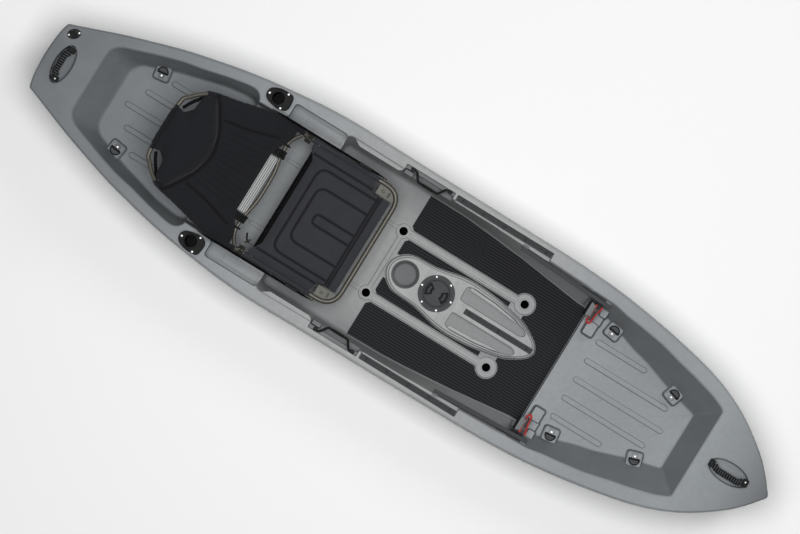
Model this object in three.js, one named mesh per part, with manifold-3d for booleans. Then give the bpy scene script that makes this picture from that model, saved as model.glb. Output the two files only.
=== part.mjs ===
// A sit-on-top fishing kayak with a framed seat, in millimetres.
// +X is the bow, +Y is port and +Z is up. The origin is under the middle of the hull, on the ground.
import * as THREE from 'three';
import * as BufferGeometryUtils from 'three/addons/utils/BufferGeometryUtils.js';
import Module from 'manifold-3d';

const wasm = await Module();
wasm.setup();

// Clearances
const gap = 0.3;
const overrun = 20;
const root = 2;

// The hull: one hollow moulding, with gunwales round a cockpit
const side = { cockpit: 390, gunwale: 57 };
const hull = {
  length: 3658, beam: 2 * (side.cockpit + side.gunwale), depth: 335, wall: 4, endWall: 20,
  bowSheer: 45, sternSheer: 20, bowRocker: 90, sternRocker: 60, flatBottom: 2000,
};
const halfLength = hull.length / 2;
const halfBeam = hull.beam / 2;
const hullOutlineShares = [
  [-1, 0], [-0.998, 0.134], [-0.992, 0.268], [-0.984, 0.347], [-0.9765, 0.376], [-0.965, 0.398],
  [-0.93, 0.445], [-0.861, 0.566], [-0.792, 0.651], [-0.723, 0.734], [-0.654, 0.803], [-0.586, 0.864],
  [-0.517, 0.913], [-0.448, 0.949], [-0.379, 0.98], [-0.31, 0.998], [-0.241, 1], [-0.103, 0.993],
  [0.034, 0.991], [0.172, 0.987], [0.31, 0.982], [0.379, 0.971], [0.448, 0.953], [0.517, 0.921],
  [0.586, 0.879], [0.654, 0.828], [0.723, 0.765], [0.792, 0.673], [0.861, 0.532], [0.93, 0.329],
  [0.965, 0.19], [0.987, 0.08], [1, 0],
];
// Each level of the hull: its share of the plan length, of the plan width and of the height
const hullLevelShares = [
  [0.86, 0.62, 0], [0.92, 0.84, 0.05], [0.96, 0.93, 0.22], [0.985, 0.975, 0.5], [1, 1, 0.78],
  [0.999, 0.996, 0.93], [0.9975, 0.985, 0.985], [0.995, 0.968, 1],
];
const fromStern = { tunnel: 329, well: 229, outerRib: 529, midRib: 449, centreRib: 399, handle: 94, drain: 67 };
const fromBow = { tunnel: 529, well: 357, outerRib: 719, midRib: 554, centreRib: 521, handle: 199 };
const fromEdge = { step: 62, inset: 77, shelf: 34, handle: 51, bail: 43, track: 48, rod: 86 };
const fromCockpit = { bowWell: 20, sternWell: 40, railStern: 28, railBow: 49 };
const tunnel = { width: 120, height: 12, sternEnd: fromStern.tunnel - halfLength,
  bowEnd: halfLength - fromBow.tunnel };

// The deck's basins: plan outlines from stern to bow, as shares of each basin's own box
const cockpit = {
  stern: -530, bow: 762, halfWidth: side.cockpit, floor: 130,
  rimShares: [[0, 1], [0.215, 0.99], [0.48, 0.985], [0.57, 0.985], [0.72, 0.975], [0.95, 0.951],
    [0.98, 0.938], [1, 0.846]],
  floorShares: [[0.008, 0.91], [0.342, 0.91], [0.48, 0.905], [0.565, 0.885], [0.72, 0.838], [0.952, 0.744],
    [0.971, 0.726], [0.995, 0.628]],
};
const seatWell = {
  stern: -800, bow: -500, halfWidth: 318, floor: 130,
  rimShares: [[0, 0.99], [0.05, 1], [1, 1]],
  floorShares: [[0.03, 0.96], [0.08, 0.975], [1, 0.975]],
};
const bowWell = {
  stern: 725, bow: halfLength - fromBow.well, halfWidth: side.cockpit - fromCockpit.bowWell, floor: 195,
  rimShares: [[0, 0.995], [0.154, 0.984], [0.234, 0.951], [0.368, 0.919], [0.502, 0.878], [0.636, 0.811],
    [0.77, 0.751], [0.904, 0.676], [0.978, 0.608], [1, 0.541]],
  floorShares: [[0, 0.845], [0.154, 0.81], [0.234, 0.757], [0.368, 0.662], [0.502, 0.595], [0.636, 0.5],
    [0.77, 0.419], [0.837, 0.378], [0.866, 0.351], [0.877, 0.311]],
};
const sternWell = {
  stern: fromStern.well - halfLength, bow: -930, halfWidth: side.cockpit - fromCockpit.sternWell,
  floor: 190,
  rimShares: [[0, 0.443], [0.045, 0.543], [0.149, 0.614], [0.299, 0.714], [0.448, 0.8], [0.597, 0.857],
    [0.746, 0.929], [0.896, 0.986], [0.955, 0.986], [1, 0.9]],
  floorShares: [[0.172, 0.386], [0.2, 0.457], [0.224, 0.514], [0.299, 0.566], [0.448, 0.671], [0.597, 0.749],
    [0.746, 0.829], [0.896, 0.869], [0.955, 0.869], [0.99, 0.829]],
};
const saddle = {
  stern: -965, bow: -780, halfWidth: 305, floor: 250,
  rimShares: [[0, 1], [0.5, 1], [1, 1]],
  floorShares: [[0.02, 0.97], [0.5, 0.97], [0.98, 0.97]],
};

// Side pockets in the gunwales, port side
const step = { stern: -790, bow: -525, inner: 300, outer: halfBeam - fromEdge.step, height: 235 };
const stepInset = { stern: -715, bow: -540, inner: 326, outer: halfBeam - fromEdge.inset, depth: 5 };
const shelf = { drop: 22, outer: halfBeam - fromEdge.shelf, inner: 370 };
const trackPocket = { stern: 12, bow: 498 };
const handlePocket = { stern: -245, bow: 0, inner: 340, outer: halfBeam - fromEdge.handle, height: 268 };

// Forms raised from the floors
const bowRibs = { width: 27, height: 5, stern: 855, pitch: 94, outerBow: halfLength - fromBow.outerRib,
  midBow: halfLength - fromBow.midRib, centreBow: halfLength - fromBow.centreRib };
const sternRibs = { width: 27, height: 5, bow: -960, pitch: 90, outerStern: fromStern.outerRib - halfLength,
  midStern: fromStern.midRib - halfLength, centreStern: fromStern.centreRib - halfLength };
const seatRidge = { width: 20, height: 3, y: 158, stern: -705, bow: -125 };
const scupper = { radius: 19, ringHeight: 7, sternX: -108, sternY: 157, sternRing: 34, bowX: 509, bowY: 161,
  bowRing: 50 };
const scupperRidge = { width: 39, height: 6 };
const crossRidge = { width: 18, height: 5 };
const pads = {
  inner: { stern: 775, bow: 830, low: 185, high: 252, height: 45 },
  dip: { stern: 785, bow: 835, low: 240, high: 300, height: 20 },
  outer: { stern: 800, bow: 840, low: 285, high: 350, height: 48 },
};

// The console pod on the cockpit floor
const pod = {
  stern: -91, bow: 655, halfWidth: 128, height: 35, slope: 11,
  shares: [[0, 0], [0.006, 0.2], [0.03, 0.43], [0.07, 0.62], [0.122, 0.719], [0.256, 0.766], [0.39, 0.9375],
    [0.457, 0.992], [0.524, 1], [0.658, 0.9375], [0.792, 0.805], [0.873, 0.664], [0.953, 0.391],
    [0.987, 0.195], [1, 0]],
};
const podTop = cockpit.floor + pod.height;
const cupHolder = { x: -3, topRadius: 61, bottomRadius: 52, depth: 78 };
const tray = {
  stern: 255, bow: 585, low: 30, high: 105, depth: 14,
  shares: [[0, 0.07], [0.03, 0], [0.94, 0], [1, 0.2], [0.95, 0.45], [0.75, 0.72], [0.45, 0.92], [0.1, 1],
    [0, 0.9]],
};
const hatch = {
  x: 156, flangeRadius: 81, holeRadius: 66, barrelRadius: 64, mouthRadius: 59, ledgeRadius: 50,
  flange: 5, barrel: 30, ledgeDepth: 9, ledge: 3, edge: 2,
};
const oRing = { radius: 54.5, section: 1.75 };
const cover = { radius: 57.5, crown: 0.5, wellInner: 18, wellOuter: 50, wellDepth: 5, wellHalfAngle: 27 };

// The traction mat on the cockpit floor
const mat = { stern: -86, bow: 752, thickness: 5, margin: 3, sliverStern: -80, sliverBow: 452, sliverInner: 60,
  sliverOuter: 141 };

// Rails and tracks
const track = { width: 24, height: 11, slot: 9, cavity: 16, lip: 2.5, base: 2.5, clearance: 1 };
const sideTrack = { stern: 16, bow: 494, y: halfBeam - fromEdge.track };
const podTrack = { stern: 300, bow: 642, depth: 12 };
const rail = { stern: 365, bow: 822, sternY: side.cockpit - fromCockpit.railStern,
  bowY: side.cockpit - fromCockpit.railBow, height: 26, depth: 18, plate: 3, slot: 13, z: 315,
  seat: 26, seatDepth: 12 };
const carriage = { x: 752, length: 32, reach: 11, blockHeight: 30, shoeHeight: 19, shoeDepth: 9, neck: 11 };
const pedal = { width: 68, height: 88, thickness: 12, corner: 14, x: 751, drop: 27 };
const padPost = { x: 779, y: 244, radius: 4, height: 9 };
const bungee = { diameter: 6, lift: 1.5 };
const railHook = { x: 781, length: 26, depth: 11, height: 14 };

// Fittings let into the deck
const rodHolder = { x: -867, y: halfBeam - fromEdge.rod, bore: 28, tube: 30.5, hole: 31, depth: 190, plate: 4,
  rebate: 2, margin: 5, bossDepth: 70, bossLift: 3, cap: 4 };
const rodFlangeShares = [[-0.55, 0.05], [-0.45, 0.3], [-0.1, 0.48], [0.3, 0.5], [0.52, 0.42], [0.6, 0.1],
  [0.58, -0.25], [0.4, -0.42], [0.1, -0.46], [-0.3, -0.36], [-0.5, -0.2]];
const rodFlange = { length: 104, width: 90 };
const drain = { x: fromStern.drain - halfLength, y: 136, turn: 40, length: 60, width: 44, plate: 5, hole: 12,
  sleeve: 11.6, bore: 9, sleeveDepth: 22, plugHead: 14, headHeight: 7, shank: 8.3, shankDepth: 18, rebate: 1.5 };
const eye = { base: 42, corner: 10, plate: 5, bar: 3.5, rise: 12, span: 13, bossLength: 62, bossWidth: 56,
  bossCorner: 14 };
const eyeShares = { stern: [0.3612, 0.554], mid: [0.2303, 0.708], bow: [0.7189, 0.438] };
function inWell(well, [along, across]) {
  return { x: well.stern + (well.bow - well.stern) * along, y: well.halfWidth * across };
}
const eyes = [
  { name: 'stern', ...inWell(sternWell, eyeShares.stern), turn: 8, lift: 22 },
  { name: 'mid', ...inWell(bowWell, eyeShares.mid), turn: -8, lift: 36 },
  { name: 'bow', ...inWell(bowWell, eyeShares.bow), turn: -18, lift: 40 },
];

// Carry handles
const endHandle = { radius: 11, pinRadius: 3.5, pinClearance: 0.35, pin: 9, rise: 9, lean: 14, shoulder: 16 };
const anchor = { length: 26, width: 34, height: 18, corner: 6 };
const bowHandle = { x: halfLength - fromBow.handle, halfSpan: 70, pocketHalfLength: 95, pocketHalfWidth: 46,
  pocketDepth: 34 };
const sternHandle = { x: fromStern.handle - halfLength, halfSpan: 58, pocketHalfLength: 90, pocketHalfWidth: 40,
  pocketDepth: 34 };
const bail = { radius: 4, y: halfBeam - fromEdge.bail, stern: -212, bow: -20, sternKnee: -190, bowKnee: -44,
  sternGrip: -166, bowGrip: -68, reach: 36, clearance: 0.35 };
const bracket = { length: 20, width: 15, height: 15, pivot: 9 };

// The seat
const seat = {
  tube: 11, z: 285, halfWidth: 289, front: -197, rear: -690, corner: 85, crossX: -612,
  pivotX: -665, pivotZ: 312, recline: 24,
};
const leg = { tube: 9.5, frontX: -292, rearX: -580, footHalfWidth: 268, bend: 34 };
const bolt = { radius: 5, headRadius: 9, head: 5, bracketThickness: 4, bracketRadius: 15, clearance: 0.4 };
const backFrame = {
  tube: 10, pivotHalfWidth: 286,
  // Along the recline from the pivot, and out from the middle, port side
  shares: [[0, 1], [0.12, 1.03], [0.24, 1.035], [0.346, 1.007], [0.417, 0.965], [0.594, 0.874], [0.77, 0.8],
    [0.843, 0.724], [0.92, 0.58], [0.965, 0.4]],
  length: 617, barShares: [[0.06, 0.97], [0.125, 0.78], [0.115, 0.5], [0.088, 0.22]],
};
const pan = { rear: -610, front: -207, halfWidth: 286, thickness: 20, crown: 10, edge: 8, seam: 4 };
const panel = { low: 112, high: 613, thickness: 14, edge: 7, seam: 4, halfWidth: 300 };
const headrest = { low: 352, high: 611, thickness: 10, crown: 16, edge: 7, halfWidth: 232 };
const strap = { width: 25, thickness: 2.5, rear: -862, front: -284, lug: 7, lugInset: 10 };
const buckle = { x: -395, length: 66, thickness: 12, height: 34, clearance: 0.3 };
const foam = { length: 220, width: 150, bowX: 900, sternX: -960 };

const degrees = Math.PI / 180;
const turn = 2 * Math.PI;
const roundSteps = 20;
const tubeSteps = 16;
const scupperSteps = 14;
const smallSteps = 12;
const hatchSteps = 24;
const cornerSteps = 2;
const tubeSides = 8;

// Materials
function material(color, roughness, metalness = 0) {
  return new THREE.MeshStandardMaterial({ color, roughness, metalness });
}
const hullPlastic = material(0x8a8e8f, 0.55);
const blackPlastic = material(0x1c1d1f, 0.5);
const greyPlastic = material(0x6f7274, 0.5);
const matFoam = material(0x232426, 0.9);
const blackFabric = material(0x1f2023, 0.9);
const webbing = material(0x161719, 0.85);
const frameTube = material(0x5f5a48, 0.45, 0.3);
const trackMetal = material(0x2c2d2f, 0.4, 0.6);
const steel = material(0xb9bbbc, 0.3, 0.9);
const whiteFoam = material(0xe6e6e2, 0.9);
const blackRubber = material(0x19191a, 0.7);
const redCord = material(0xc8322f, 0.8);

// Solids and geometries
function solid(geometry) {
  const bare = geometry.clone();
  bare.deleteAttribute('normal');
  bare.deleteAttribute('uv');
  const merged = BufferGeometryUtils.mergeVertices(bare);
  const vertProperties = new Float32Array(merged.attributes.position.array);
  const triVerts = new Uint32Array(merged.index.array);
  return new wasm.Manifold(new wasm.Mesh({ numProp: 3, vertProperties, triVerts }));
}
function geometryOf(body) {
  const mesh = body.getMesh();
  const geometry = new THREE.BufferGeometry();
  geometry.setAttribute('position', new THREE.BufferAttribute(mesh.vertProperties.slice(), 3));
  geometry.setIndex(new THREE.BufferAttribute(mesh.triVerts.slice(), 1));
  geometry.computeVertexNormals();
  return geometry;
}
function joined(geometries) {
  return geometries.map(solid).reduce((whole, body) => whole.add(body));
}
function mirrored(geometry) {
  const other = geometry.index ? geometry.toNonIndexed() : geometry.clone();
  other.scale(1, -1, 1);
  const places = other.attributes.position;
  const swap = new THREE.Vector3();
  const last = new THREE.Vector3();
  for (let i = 0; i < places.count; i += 3) {
    swap.fromBufferAttribute(places, i + 1);
    last.fromBufferAttribute(places, i + 2);
    places.setXYZ(i + 1, last.x, last.y, last.z);
    places.setXYZ(i + 2, swap.x, swap.y, swap.z);
  }
  other.deleteAttribute('normal');
  other.deleteAttribute('uv');
  return BufferGeometryUtils.mergeVertices(other);
}
function bothSides(geometry) {
  return solid(geometry).add(solid(mirrored(geometry)));
}

// Outlines
function flat(x, y) {
  return new THREE.Vector2(x, y);
}
function box(stern, bow, low, high) {
  return new THREE.Shape([flat(stern, low), flat(bow, low), flat(bow, high), flat(stern, high)]);
}
function disc(radius) {
  const shape = new THREE.Shape();
  shape.absarc(0, 0, radius, 0, turn, false);
  return shape;
}
function oval(halfX, halfY) {
  const shape = new THREE.Shape();
  shape.absellipse(0, 0, halfX, halfY, 0, turn, false, 0);
  return shape;
}
function roundedBox(length, width, radius) {
  const x = length / 2 - radius;
  const y = width / 2 - radius;
  const shape = new THREE.Shape();
  shape.absarc(x, y, radius, 0, turn / 4, false);
  shape.absarc(-x, y, radius, turn / 4, turn / 2, false);
  shape.absarc(-x, -y, radius, turn / 2, turn * 3 / 4, false);
  shape.absarc(x, -y, radius, turn * 3 / 4, turn, false);
  return shape;
}
function pill(length, width) {
  const r = width / 2;
  const x = length / 2 - r;
  const shape = new THREE.Shape();
  shape.absarc(x, 0, r, -turn / 4, turn / 4, false);
  shape.absarc(-x, 0, r, turn / 4, turn * 3 / 4, false);
  return shape;
}
// A round arc takes two steps for each of its curve segments
function extruded(shape, height, arcSteps = cornerSteps) {
  return new THREE.ExtrudeGeometry(shape, { depth: height, bevelEnabled: false, curveSegments: arcSteps / 2 });
}
function round(radius, height, steps = roundSteps) {
  return extruded(disc(radius), height, steps);
}
// Lays an extrusion made along Z so that it runs along X, with the shape's axes on Y and Z
function alongX(geometry) {
  return geometry.rotateY(turn / 4).rotateX(turn / 4);
}

// A loft that is the same on both sides: each level holds the port half, from stern to bow
function symmetricLoft(levels) {
  const onAxis = levels[0][0].y === 0;
  const rings = levels.map((half) => [
    ...half,
    ...half.filter((p) => p.y > 0).reverse().map((p) => new THREE.Vector3(p.x, -p.y, p.z)),
  ]);
  const count = rings[0].length;
  const opposite = (k) => (onAxis ? (count - k) % count : count - 1 - k);
  const index = [];
  const face = (a, b, c) => {
    if (a !== b && b !== c && a !== c) index.push(a, b, c);
  };
  for (let level = 0; level + 1 < rings.length; level += 1) {
    for (let i = 0; i < count; i += 1) {
      const j = (i + 1) % count;
      const low = level * count;
      const high = low + count;
      face(low + i, high + j, low + j);
      face(low + i, high + i, high + j);
    }
  }
  const top = (rings.length - 1) * count;
  for (let k = 0; k + 1 < levels[0].length; k += 1) {
    const far = opposite(k);
    const next = opposite(k + 1);
    face(top + k, top + far, top + next);
    face(top + k, top + next, top + k + 1);
    face(k, next, far);
    face(k, k + 1, next);
  }
  const geometry = new THREE.BufferGeometry();
  const places = rings.flat().flatMap((p) => [p.x, p.y, p.z]);
  geometry.setAttribute('position', new THREE.Float32BufferAttribute(places, 3));
  geometry.setIndex(index);
  return geometry;
}
// Moves the port half of an outline outwards, mitred at its corners
function grownHalf(half, amount) {
  const first = half[0];
  const last = half[half.length - 1];
  return half.map((p, i) => {
    const before = half[i - 1] ?? flat(first.x, -first.y);
    const after = half[i + 1] ?? flat(last.x, -last.y);
    const a = flat(before.y - p.y, p.x - before.x).normalize();
    const b = flat(p.y - after.y, after.x - p.x).normalize();
    const mitre = a.clone().add(b).multiplyScalar(1 / (1 + a.dot(b)));
    return p.clone().addScaledVector(mitre, amount);
  });
}

// Heights along the hull
function deckHeight(x) {
  const share = x / halfLength;
  return hull.depth + (share > 0 ? hull.bowSheer : hull.sternSheer) * share * share;
}
function deckPitch(x) {
  return -Math.atan2(deckHeight(x + hull.wall) - deckHeight(x - hull.wall), 2 * hull.wall);
}
function keelHeight(x) {
  const flatHalf = hull.flatBottom / 2;
  const share = Math.max(0, (Math.abs(x) - flatHalf) / (halfLength - flatHalf));
  return (x > 0 ? hull.bowRocker : hull.sternRocker) * share * share;
}

// The hull
function hullBody(inset, endInset, levelShares, outlineShares) {
  const lengthShare = 1 - endInset / halfLength;
  const widthShare = 1 - inset / halfBeam;
  const levels = levelShares.map(([along, across, up]) => outlineShares.map(([u, v]) => {
    const x = u * halfLength;
    const low = keelHeight(x) + inset;
    const high = deckHeight(x) - inset;
    return new THREE.Vector3(x * along * lengthShare, v * halfBeam * across * widthShare, low + up * (high - low));
  }));
  return solid(symmetricLoft(levels));
}
function hullOutside() {
  return hullBody(0, 0, hullLevelShares, hullOutlineShares);
}
// The hollow follows the outside at fewer points, which all lie inside it
function hullInside() {
  const levels = hullLevelShares.filter((_, i) => i !== 5 && i !== 6);
  const outline = hullOutlineShares.filter((_, i) => i % 2 === 0);
  return hullBody(hull.wall, hull.endWall, levels, outline);
}
function basinHalf(basin, shares) {
  return shares.map(([u, v]) => flat(basin.stern + u * (basin.bow - basin.stern), v * basin.halfWidth));
}
function basinCut(basin, grow) {
  const floor = grownHalf(basinHalf(basin, basin.floorShares), grow);
  const rim = grownHalf(basinHalf(basin, basin.rimShares), grow);
  return solid(symmetricLoft([
    floor.map((p) => new THREE.Vector3(p.x, p.y, basin.floor - grow)),
    rim.map((p) => new THREE.Vector3(p.x, p.y, deckHeight(p.x))),
    rim.map((p) => new THREE.Vector3(p.x, p.y, deckHeight(p.x) + overrun)),
  ]));
}
function podHalf(grow) {
  const middle = (pod.stern + pod.bow) / 2;
  const half = (pod.bow - pod.stern) / 2;
  return pod.shares.map(([u, v]) => {
    const x = pod.stern + u * (pod.bow - pod.stern);
    return flat(middle + (x - middle) * (1 + grow / half), v * (pod.halfWidth + grow));
  });
}
function podBody(grow, low) {
  const at = (half, z) => half.map((p) => new THREE.Vector3(p.x, p.y, z));
  const foot = podHalf(grow);
  return solid(symmetricLoft([
    at(foot, low), at(foot, cockpit.floor), at(podHalf(grow - pod.slope), podTop + grow),
  ]));
}
function trayCut(grow) {
  const outline = tray.shares.map(([u, v]) => flat(
    tray.stern + u * (tray.bow - tray.stern), tray.low + v * (tray.high - tray.low)));
  const shape = new THREE.Shape(outline);
  const middle = (tray.stern + tray.bow) / 2;
  const across = (tray.low + tray.high) / 2;
  const share = 1 + (2 * grow) / (tray.high - tray.low);
  const geometry = extruded(shape, tray.depth + grow + overrun)
    .translate(-middle, -across, podTop - tray.depth - grow)
    .scale(1 + (2 * grow) / (tray.bow - tray.stern), share, 1)
    .translate(middle, across, 0);
  return bothSides(geometry);
}
function cupCut(grow) {
  const points = [
    flat(0, -cupHolder.depth - grow), flat(cupHolder.bottomRadius + grow, -cupHolder.depth - grow),
    flat(cupHolder.topRadius + grow, 0), flat(cupHolder.topRadius + grow, overrun), flat(0, overrun),
  ];
  return solid(lathe(points, cupHolder.x, 0, podTop));
}
function lathe(points, x, y, z, steps = roundSteps) {
  return new THREE.LatheGeometry(points, steps).rotateX(turn / 4).translate(x, y, z);
}
function sideCut(stern, bow, inner, outer, low, grow) {
  const height = hull.depth + hull.bowSheer + overrun - low;
  const geometry = extruded(box(stern - grow, bow + grow, inner - grow, outer + grow), height + grow);
  return bothSides(geometry.translate(0, 0, low - grow));
}
function shelfHeight() {
  return deckHeight(trackPocket.stern) - shelf.drop;
}
function endPocketCut(handle, along, grow) {
  const x = handle.pocketHalfLength + grow;
  const y = handle.pocketHalfWidth + grow;
  const shape = along ? oval(x, y) : oval(y, x);
  const low = deckHeight(handle.x) - handle.pocketDepth - grow;
  const seatHalf = handle.halfSpan + anchor.length + root;
  const cut = solid(extruded(shape, handle.pocketDepth + grow + overrun, roundSteps).translate(handle.x, 0, low));
  return [-1, 1].reduce((body, end) => {
    const inner = handle.halfSpan + grow;
    const length = seatHalf - inner;
    const place = end * (inner + length / 2);
    const block = extruded(roundedBox(
      along ? length : anchor.width - grow, along ? anchor.width - grow : length, anchor.corner), handle.pocketDepth);
    const seatTop = deckHeight(handle.x) - handle.pocketDepth - overrun - grow;
    block.scale(1, 1, (handle.pocketDepth + overrun) / handle.pocketDepth);
    block.translate(handle.x + (along ? place : 0), along ? 0 : place, seatTop);
    return body.subtract(solid(block));
  }, cut);
}
// Everything that opens the hull from above, grown by the wall to shape the hollow inside
function deckCuts(grow) {
  const shelfZ = shelfHeight();
  let cuts = basinCut(cockpit, grow)
    .add(basinCut(seatWell, grow))
    .add(basinCut(bowWell, grow))
    .add(basinCut(sternWell, grow))
    .add(basinCut(saddle, grow))
    .add(sideCut(step.stern, step.bow, step.inner, step.outer, step.height, grow))
    .add(sideCut(stepInset.stern, stepInset.bow, stepInset.inner, stepInset.outer, step.height - stepInset.depth,
      grow))
    .add(sideCut(trackPocket.stern, trackPocket.bow, shelf.inner, shelf.outer, shelfZ, grow))
    .add(sideCut(handlePocket.stern, handlePocket.bow, shelf.inner, shelf.outer, shelfZ, grow))
    .add(sideCut(handlePocket.stern, handlePocket.bow, handlePocket.inner, handlePocket.outer,
      handlePocket.height, grow));
  cuts = cuts.subtract(podBody(-grow, cockpit.floor - overrun));
  return cuts
    .add(cupCut(grow))
    .add(trayCut(grow))
    .add(solid(extruded(box(podTrack.stern - gap - grow, podTrack.bow + gap + grow,
      -track.width / 2 - track.clearance - grow, track.width / 2 + track.clearance + grow),
    podTrack.depth + grow + overrun).translate(0, 0, podTop - podTrack.depth - grow)))
    .add(endPocketCut(bowHandle, true, grow))
    .add(endPocketCut(sternHandle, false, grow));
}
function scupperPlaces() {
  return [
    { x: scupper.sternX, y: scupper.sternY, ring: scupper.sternRing },
    { x: scupper.bowX, y: scupper.bowY, ring: scupper.bowRing },
  ];
}
function scupperCuts(grow) {
  return scupperPlaces()
    .map(({ x, y }) => bothSides(round(scupper.radius + grow, cockpit.floor + 2 * overrun, scupperSteps)
      .translate(x, y, -overrun)))
    .reduce((a, b) => a.add(b));
}
function tunnelCut(grow) {
  const geometry = extruded(box(tunnel.sternEnd - grow, tunnel.bowEnd + grow, -tunnel.width / 2 - grow,
    tunnel.width / 2 + grow), tunnel.height + grow + overrun);
  return solid(geometry.translate(0, 0, -overrun));
}
function rib(stern, bow, y, width, floor, height) {
  return extruded(pill(bow - stern, width), height + root, 2 * cornerSteps)
    .translate((stern + bow) / 2, y, floor - root);
}
function raisedForms() {
  const r = bowRibs;
  const s = sternRibs;
  const ridge = scupperRidge;
  const forms = [
    solid(rib(r.stern, r.centreBow, 0, r.width, bowWell.floor, r.height)),
    bothSides(rib(r.stern, r.midBow, r.pitch, r.width, bowWell.floor, r.height)),
    bothSides(rib(r.stern, r.outerBow, 2 * r.pitch, r.width, bowWell.floor, r.height)),
    solid(rib(s.centreStern, s.bow, 0, s.width, sternWell.floor, s.height)),
    bothSides(rib(s.midStern, s.bow, s.pitch, s.width, sternWell.floor, s.height)),
    bothSides(rib(s.outerStern, s.bow, 2 * s.pitch, s.width, sternWell.floor, s.height)),
    bothSides(rib(seatRidge.stern, seatRidge.bow, seatRidge.y, seatRidge.width, cockpit.floor, seatRidge.height)),
    bothSides(rib(scupper.sternX, scupper.bowX, (scupper.sternY + scupper.bowY) / 2, ridge.width, cockpit.floor,
      ridge.height)),
    solid(extruded(box(scupper.sternX - crossRidge.width / 2, scupper.sternX + crossRidge.width / 2,
      -scupper.sternY, scupper.sternY), crossRidge.height + root).translate(0, 0, cockpit.floor - root)),
  ];
  scupperPlaces().forEach(({ x, y, ring }) => {
    forms.push(bothSides(round(ring, scupper.ringHeight + root).translate(x, y, cockpit.floor - root)));
  });
  Object.values(pads).forEach((pad) => {
    forms.push(bothSides(extruded(box(pad.stern, pad.bow, pad.low, pad.high), pad.height + root)
      .translate(0, 0, bowWell.floor - root)));
  });
  forms.push(bothSides(round(padPost.radius, padPost.height + root, smallSteps)
    .translate(padPost.x, padPost.y, bowWell.floor + pads.inner.height - root)));
  eyes.forEach((place) => forms.push(bothSides(eyeBoss(place))));
  return forms.reduce((a, b) => a.add(b));
}
function eyeFloor(place) {
  return place.x < 0 ? sternWell.floor : bowWell.floor;
}
function eyeBoss(place) {
  return extruded(roundedBox(eye.bossLength, eye.bossWidth, eye.bossCorner), place.lift + root)
    .rotateZ(place.turn * degrees)
    .translate(place.x, place.y, eyeFloor(place) - root);
}
// The flush rod holder's flange: a rounded triangle, grown by a margin
function rodFlangeShape(margin) {
  const points = rodFlangeShares.map(([u, v]) => flat(
    u * (rodFlange.length + 2 * margin), v * (rodFlange.width + 2 * margin)));
  const curve = new THREE.CatmullRomCurve3(points.map((p) => new THREE.Vector3(p.x, p.y, 0)), true);
  return new THREE.Shape(curve.getPoints(2 * smallSteps).slice(0, -1).map((p) => flat(p.x, p.y)));
}
function rodSeatHeight() {
  return deckHeight(rodHolder.x) + rodHolder.bossLift - rodHolder.rebate;
}
function rodBoss() {
  const low = deckHeight(rodHolder.x) - rodHolder.bossDepth;
  return bothSides(extruded(rodFlangeShape(rodHolder.margin), rodHolder.bossDepth + rodHolder.bossLift)
    .translate(rodHolder.x, rodHolder.y, low));
}
function rodCuts() {
  const rebate = extruded(rodFlangeShape(gap), rodHolder.rebate + overrun)
    .translate(rodHolder.x, rodHolder.y, rodSeatHeight());
  const hole = round(rodHolder.hole, rodHolder.bossDepth + 2 * overrun)
    .translate(rodHolder.x, rodHolder.y, rodSeatHeight() - rodHolder.bossDepth - overrun);
  return bothSides(rebate).add(bothSides(hole));
}
function drainSeatHeight() {
  return deckHeight(drain.x) - drain.rebate;
}
function drainCuts() {
  const rebate = extruded(oval(drain.length / 2 + gap, drain.width / 2 + gap), drain.rebate + overrun, roundSteps)
    .rotateZ(drain.turn * degrees)
    .translate(drain.x, drain.y, drainSeatHeight());
  const hole = round(drain.hole, drain.sleeveDepth + 2 * overrun, smallSteps)
    .translate(drain.x, drain.y, drainSeatHeight() - drain.sleeveDepth - overrun);
  return solid(rebate).add(solid(hole));
}
function railAngle() {
  return Math.atan2(rail.bowY - rail.sternY, rail.bow - rail.stern);
}
function railPlace(x) {
  return rail.sternY + ((x - rail.stern) / (rail.bow - rail.stern)) * (rail.bowY - rail.sternY);
}
// The box round a foot rail, with its seats on the wall at each end
function railBlock(stern, bow, inner, outer, height) {
  const length = bow - stern;
  const middle = (stern + bow) / 2;
  return extruded(box(-length / 2, length / 2, inner, outer), height)
    .rotateZ(railAngle())
    .translate(middle, railPlace(middle), rail.z - height / 2);
}
function railSeats() {
  const face = rail.depth / 2 - root;
  const seats = [rail.stern, rail.bow - rail.seat].map((stern) => bothSides(
    railBlock(stern, stern + rail.seat, face, face + rail.seatDepth, rail.height)));
  return seats[0].add(seats[1]);
}
function hullGeometry() {
  const outer = hullOutside()
    .add(rodBoss())
    .subtract(deckCuts(0))
    .subtract(tunnelCut(0))
    .add(raisedForms().intersect(hullOutside()))
    .add(railSeats().intersect(hullOutside()));
  const hollow = hullInside()
    .subtract(deckCuts(hull.wall))
    .subtract(tunnelCut(hull.wall))
    .subtract(scupperCuts(hull.wall));
  const holes = scupperCuts(0)
    .add(solid(round(hatch.holeRadius, 2 * overrun + hull.wall).translate(hatch.x, 0, podTop - hull.wall - overrun)))
    .add(rodCuts())
    .add(drainCuts())
    .add(bothSides(railBlock(rail.stern - gap, rail.bow + gap, -rail.depth / 2 - gap, rail.depth / 2 + gap,
      rail.height + 2 * gap)));
  return geometryOf(outer.subtract(hollow).subtract(holes));
}
function foamGeometry(floor) {
  const low = tunnel.height + hull.wall + gap;
  const height = floor - hull.wall - gap - low;
  return new THREE.BoxGeometry(foam.length, foam.width, height).translate(0, 0, low + height / 2);
}

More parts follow.
